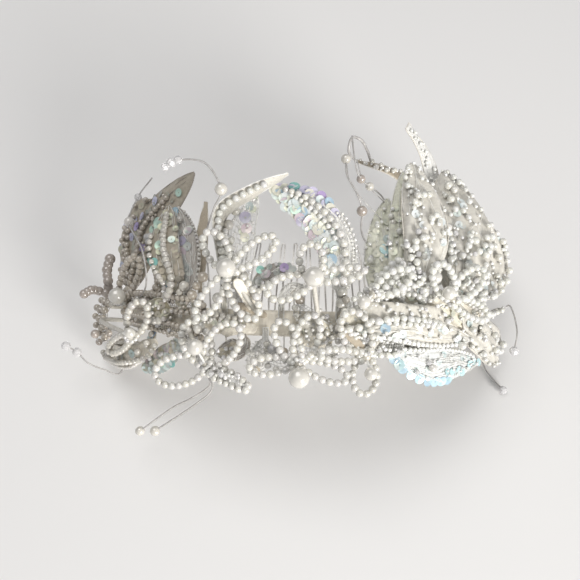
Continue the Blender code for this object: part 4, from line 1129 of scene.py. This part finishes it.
trims = {
    "ribbonHigh": trimOf("satin", 4.2, (235, 279, 21), (241, 288, 18), (247, 298, 13), (255, 310, 7)),
    "bandFold": trimOf("satin", 4.5, (222, 333, 4), (232, 330, 4.2), (244, 328, 4.2), (257, 329, 3.6),
        pleat=(0.3, 1)),
    "ribbonLow": trimOf("beige", 2.8, (238, 304, 10), (247, 308, 9), (256, 312, 7), (267, 316, 4)),
    "ribbonRight": trimOf("beige", 3.6, (338, 327, 8), (346, 333, 9), (355, 341, 9), (364, 350, 8)),
    "petalHigh": trimOf("ivory", 7, (301, 331, 7), (307, 328, 9), (314, 326, 9), (321, 325, 8),
        pleat=(0.4, 1.5), strewn=((5, "seed", 1.2, 1.8, 0.1),)),
    "petalLow": trimOf("satin", 6, (303, 337, 8), (310, 340, 9), (318, 342, 9), (326, 344, 8),
        pleat=(0.4, 1.5), strewn=((6, "seed", 1.2, 1.8, 0.1),)),
    "petalRight": trimOf("cream", 9, (338, 320, 6), (347, 322, 8), (356, 327, 8), (364, 334, 7),
        pleat=(0.6, 2), rows=((0.8, 0.1, 0.9, 2.8, 2.6, 1.1),), strewn=((10, "seed", 1.2, 2),)),
    "veilRight": trimOf("ivory", 9, (360, 309, 9), (380, 312, 11), (402, 314, 12), (426, 316, 12),
        (446, 318, 12), tone="snow", pleat=(0.7, 3), rows=((0.9, 0.05, 1, 2.8, 2.6, 1.15),),
        strewn=((26, "seed", 1, 2, 0, 1, 1.2), (4, "crystal", 1.8, 2.6))),
    "temple": trimOf("brownNet", 5, (128, 318, 6), (146, 322, 6), (166, 327, 5), (186, 333, 5),
        (204, 340, 6), tone="taupe", rows=((-0.8, 0, 1, 2.8, 2.8), (0.8, 0, 1, 2.4, 2.4, 1.1)),
        strewn=((9, "crystal", 1.8, 2.6), (40, "seed", 1.2, 2, 0, 1, 1.4))),
    "leftEnd": trimOf("brownNet", 8, (112, 298, 6), (104, 310, 6), (103, 323, 6), (110, 337, 6),
        tone="taupe", rows=((-0.9, 0, 1, 4, 3.6), (0, 0, 1, 3.8, 3.6, 1.05), (0.9, 0, 1, 3.6, 3.4)),
        strewn=((18, "seed", 1.2, 2, 0, 1, 1.2),)),
    "leftRear": trimOf("brownNet", 6, (128, 300, 6), (146, 300, 5), (166, 303, 5), (186, 306, 5),
        (206, 308, 5), tone="taupe", rows=((-1, 0, 1, 3.2, 2.8), (1, 0, 1, 3, 2.6, 1.15)),
        strewn=((20, "tan", 2.4, 3.4), (40, "seed", 1.2, 2, 0, 1, 1.4))),
    "leftCrest": trimOf("brownNet", 4, (196, 318, 5), (212, 318, 5), (230, 322, 5), (246, 326, 5),
        tone="grey", rows=((-1, 0, 1, 2.6, 2.6, 1.05),), strewn=((10, "cream", 2.6, 3.6),
        (26, "seed", 1.2, 2, 0, 1, 1.4))),
    "browLeft": trimOf("whiteNet", 5, (186, 340, 6), (196, 350, 7), (204, 362, 8), (216, 372, 9),
        (232, 380, 10), (246, 388, 10), rows=((0.9, 0.3, 1, 2.8, 2.6, 1.05), (-0.9, 0, 0.5, 3, 2.8)),
        strewn=((60, "seed", 1, 1.9, 0.1, 1, 1.4), (3, "crystal", 2, 3, 0.2, 0.8))),
    "browMiddle": trimOf("whiteNet", 6, (250, 350, 4), (268, 358, 5), (284, 362, 7), (300, 352, 8),
        (318, 350, 8), (338, 352, 8), rows=((1, 0, 1, 2.8, 2.8, 1.2),),
        strewn=((36, "seed", 1, 2, 0, 1, 1.4), (3, "crystal", 1.8, 2.8))),
    "middle": trimOf("whiteNet", 6, (296, 306, 5), (306, 314, 5), (320, 320, 5), (334, 330, 6),
        (344, 340, 6), rows=((1, 0, 1, 2.6, 2.6, 1.1),), strewn=((26, "seed", 1, 2, 0, 1, 1.4),
        (3, "crystal", 1.8, 2.6))),
    "rightBrow": trimOf("whiteNet", 6, (344, 322, 6), (352, 338, 7), (366, 346, 7), (384, 348, 8),
        (404, 346, 9), tone="snow", rows=((1, 0, 1, 2.8, 2.8, 1.05),),
        strewn=((50, "seed", 1, 2, 0, 1, 1.4), (4, "crystal", 1.8, 2.8))),
    "rightHigh": trimOf("whiteNet", 7, (344, 320, 5), (360, 305, 7), (380, 292, 9), (402, 282, 11),
        (424, 272, 14), tone="snow", rows=((-1, 0, 1, 2.8, 2.6, 1.02), (1, 0, 1, 2.8, 2.6, 1.02)),
        strewn=((44, "seed", 1, 2.2, 0, 1, 1.2), (11, "crystal", 1.8, 2.8))),
    "rightSeat": trimOf("cream", 8, (352, 316, 5), (376, 308, 6), (402, 304, 6), (428, 306, 7),
        (452, 314, 8), (474, 324, 9), tone="snow", pleat=(0.6, 2), rows=((-1, 0, 1, 2.8, 2.6, 1.05),
        (1, 0, 0.6, 2.6, 2.6, 1.1)), strewn=((40, "seed", 1, 2.2, 0, 0.7, 1.2), (8, "crystal", 1.8, 2.8),
        (14, "cream", 3, 4, 0, 1, 0.8))),
    "leftVeil": trimOf("greige", 9, (129, 290, 4.7), (127.5, 264, 8.3), (127, 245, 11.2),
        (128.5, 232, 12.8), (132.5, 221, 13.4), (140, 208, 13.6), (152, 201, 11.1), tone="taupe",
        pleat=(0.5, 3), rows=((-0.2, 0, 0.7, 3, 2.6, 1.3),), strewn=((9, "string", 2.4, 3.2, 0.1, 1, 0.8),
        (6, "tan", 3.4, 4.2, 0.1, 1, 0.8), (4, "lilac", 3.4, 4.2, 0.2, 0.9, 0.8))),
    "leftBoat": trimOf("satin", 8, (106, 350, 14), (122, 355, 13), (140, 352, 12), (157, 341, 10),
        tone="grey", pleat=(0.4, 2), rows=((0.85, 0, 1, 2.8, 2.6, 1.1),),
        strewn=((6, "string", 2.6, 3.4, 0.1, 1, 0.6), (10, "seed", 1.2, 2, 0, 1, 0.9),
        (4, "pale", 3.4, 4.2, 0.2, 0.9, 0.6))),
    "rightPost": trimOf("whiteNet", 3, (452, 277, 13), (453, 289, 12), (451, 300, 11), tone="snow",
        rows=((-0.9, 0, 1, 3.2, 3, 1.02), (0.9, 0, 1, 3, 2.8, 1.1)),
        strewn=((10, "seed", 1, 2, 0, 1, 1.3),)),
    "rightEdge": trimOf("greySheer", 3, (478, 317, 10), (490, 314, 11), (502, 309, 12), tone="snow",
        rows=((0, 0, 1, 3.6, 3, 1.3),), strewn=((6, "seed", 1, 2, 0, 1, 1.3),)),
    "rightRim": trimOf("satin", 5, (426, 306, 9), (438, 300, 10), (452, 300, 11), (466, 309, 12),
        (480, 318, 12), pleat=(0.4, 1.5), rows=((-0.9, 0.05, 1, 2.6, 2.4, 1.3),),
        strewn=((10, "seed", 1, 1.8),)),
    "rightFall": trimOf("greySheer", 10, (462, 316, 9), (476, 326, 10), (490, 332, 11), (500, 344, 12),
        tone="snow", pleat=(0.5, 2), strewn=((9, "string", 3, 4.2, 0.05, 1, 0.9), (16, "seed", 1, 2.2),
        (5, "pale", 3.4, 4.2, 0.1, 0.9, 0.8))),
}
# Single pearls: (across, down, proud, mm, tone).
singles = ((218, 298, 9, 4.8, "plain"), (187, 328, 10, 4.8, "plain"), (198, 329, 10, 4.2, "plain"),
           (203, 277, 9, 4.6, "taupe"), (184, 286, 8, 4.6, "plain"), (192, 295, 8, 4.4, "taupe"),
           (196, 286, 7, 3.6, "taupe"), (180, 292, 7, 3.6, "grey"), (244, 275, 9, 3.6, "grey"),
           (300, 300, 6, 4.2, "taupe"), (294, 292, 6, 3.6, "grey"), (346, 300, 8, 3.4, "grey"),
           (213, 372, 8, 4.2, "plain"), (226, 362, 8, 3.8, "plain"), (284, 352, 6, 3.8, "taupe"))


def trimStations(trim, count=60):
    line = spaced(smoothLine([charted(place) for place in trim["way"]], 80), evenShares(count + 1))
    stations = []
    for i, point in enumerate(line):
        axis = (line[min(count, i + 1)] - line[max(0, i - 1)]).normalized()
        across, facing = acrossFrame(point, axis, trimForm["hug"])
        taper = trimForm["endWidth"] + min(i, count - i) / trimForm["endSteps"]
        half = trim["width"] * mm / 2 * min(1, taper)
        stations.append((point, across, facing, axis, half, 0))
    return stations


def makeTrim(key, trim):
    name = "trim" + key[0].upper() + key[1:]
    stations = trimStations(trim)
    length = lineLength([station[0] for station in stations])
    cells = trimForm["cells"]
    if trim["cloth"] in nets:
        cells = (round(length / trimForm["cell"]), trimForm["netAcross"])
    things = [clothBlade(name, stations, trim["cloth"], *cells, trim["pleat"])]
    things += sewnRows(stations, length, trim)
    things += strewnOver(stations, trim)
    settle(joined(name, things), "pearl_string")


for key, trim in trims.items():
    makeTrim(key, trim)

loose = []
for across, down, proud, size, tone in singles:  # single pearls, each on its own thread from the band
    point = charted((across, down, proud))
    least, most = trimForm["bandDown"]
    foot = charted((across, min(max(down, least), most), trimForm["foot"]))
    # The tone's painted shade multiplies the pearl's colour.
    loose.append(copyOf(shapes["pearl"], placed(point, size * mm), pearlTint(0.04, tonesAndPaintedShade[tone])))
    loose.append(wire("singleThread", [[foot, point]], trimForm["thread"], "thread", 1))
settle(joined("singlePearls", loose), "pearl")
print("trims made")

for shape in shapes.values():
    bpy.data.objects.remove(shape)

# The floor, just under the tiara.
low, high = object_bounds()
choose()
under = min(low.z, cadLow.z) - view["floorGap"]
bpy.ops.mesh.primitive_plane_add(size=view["floorSize"], location=(0, 0, under))
floor = bpy.context.object
floor.name = "floor"
floorFinish = newMaterial("paleFloor", (0.80, 0.79, 0.78), 0.7)
grain(floorFinish, 3, 2, None, 0.3, (0.79, 0.78, 0.77), (0.81, 0.80, 0.79), False)
floor.data.materials.append(floorFinish)
floor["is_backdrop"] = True

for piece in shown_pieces():
    piece.data.calc_loop_triangles()
low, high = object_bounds()
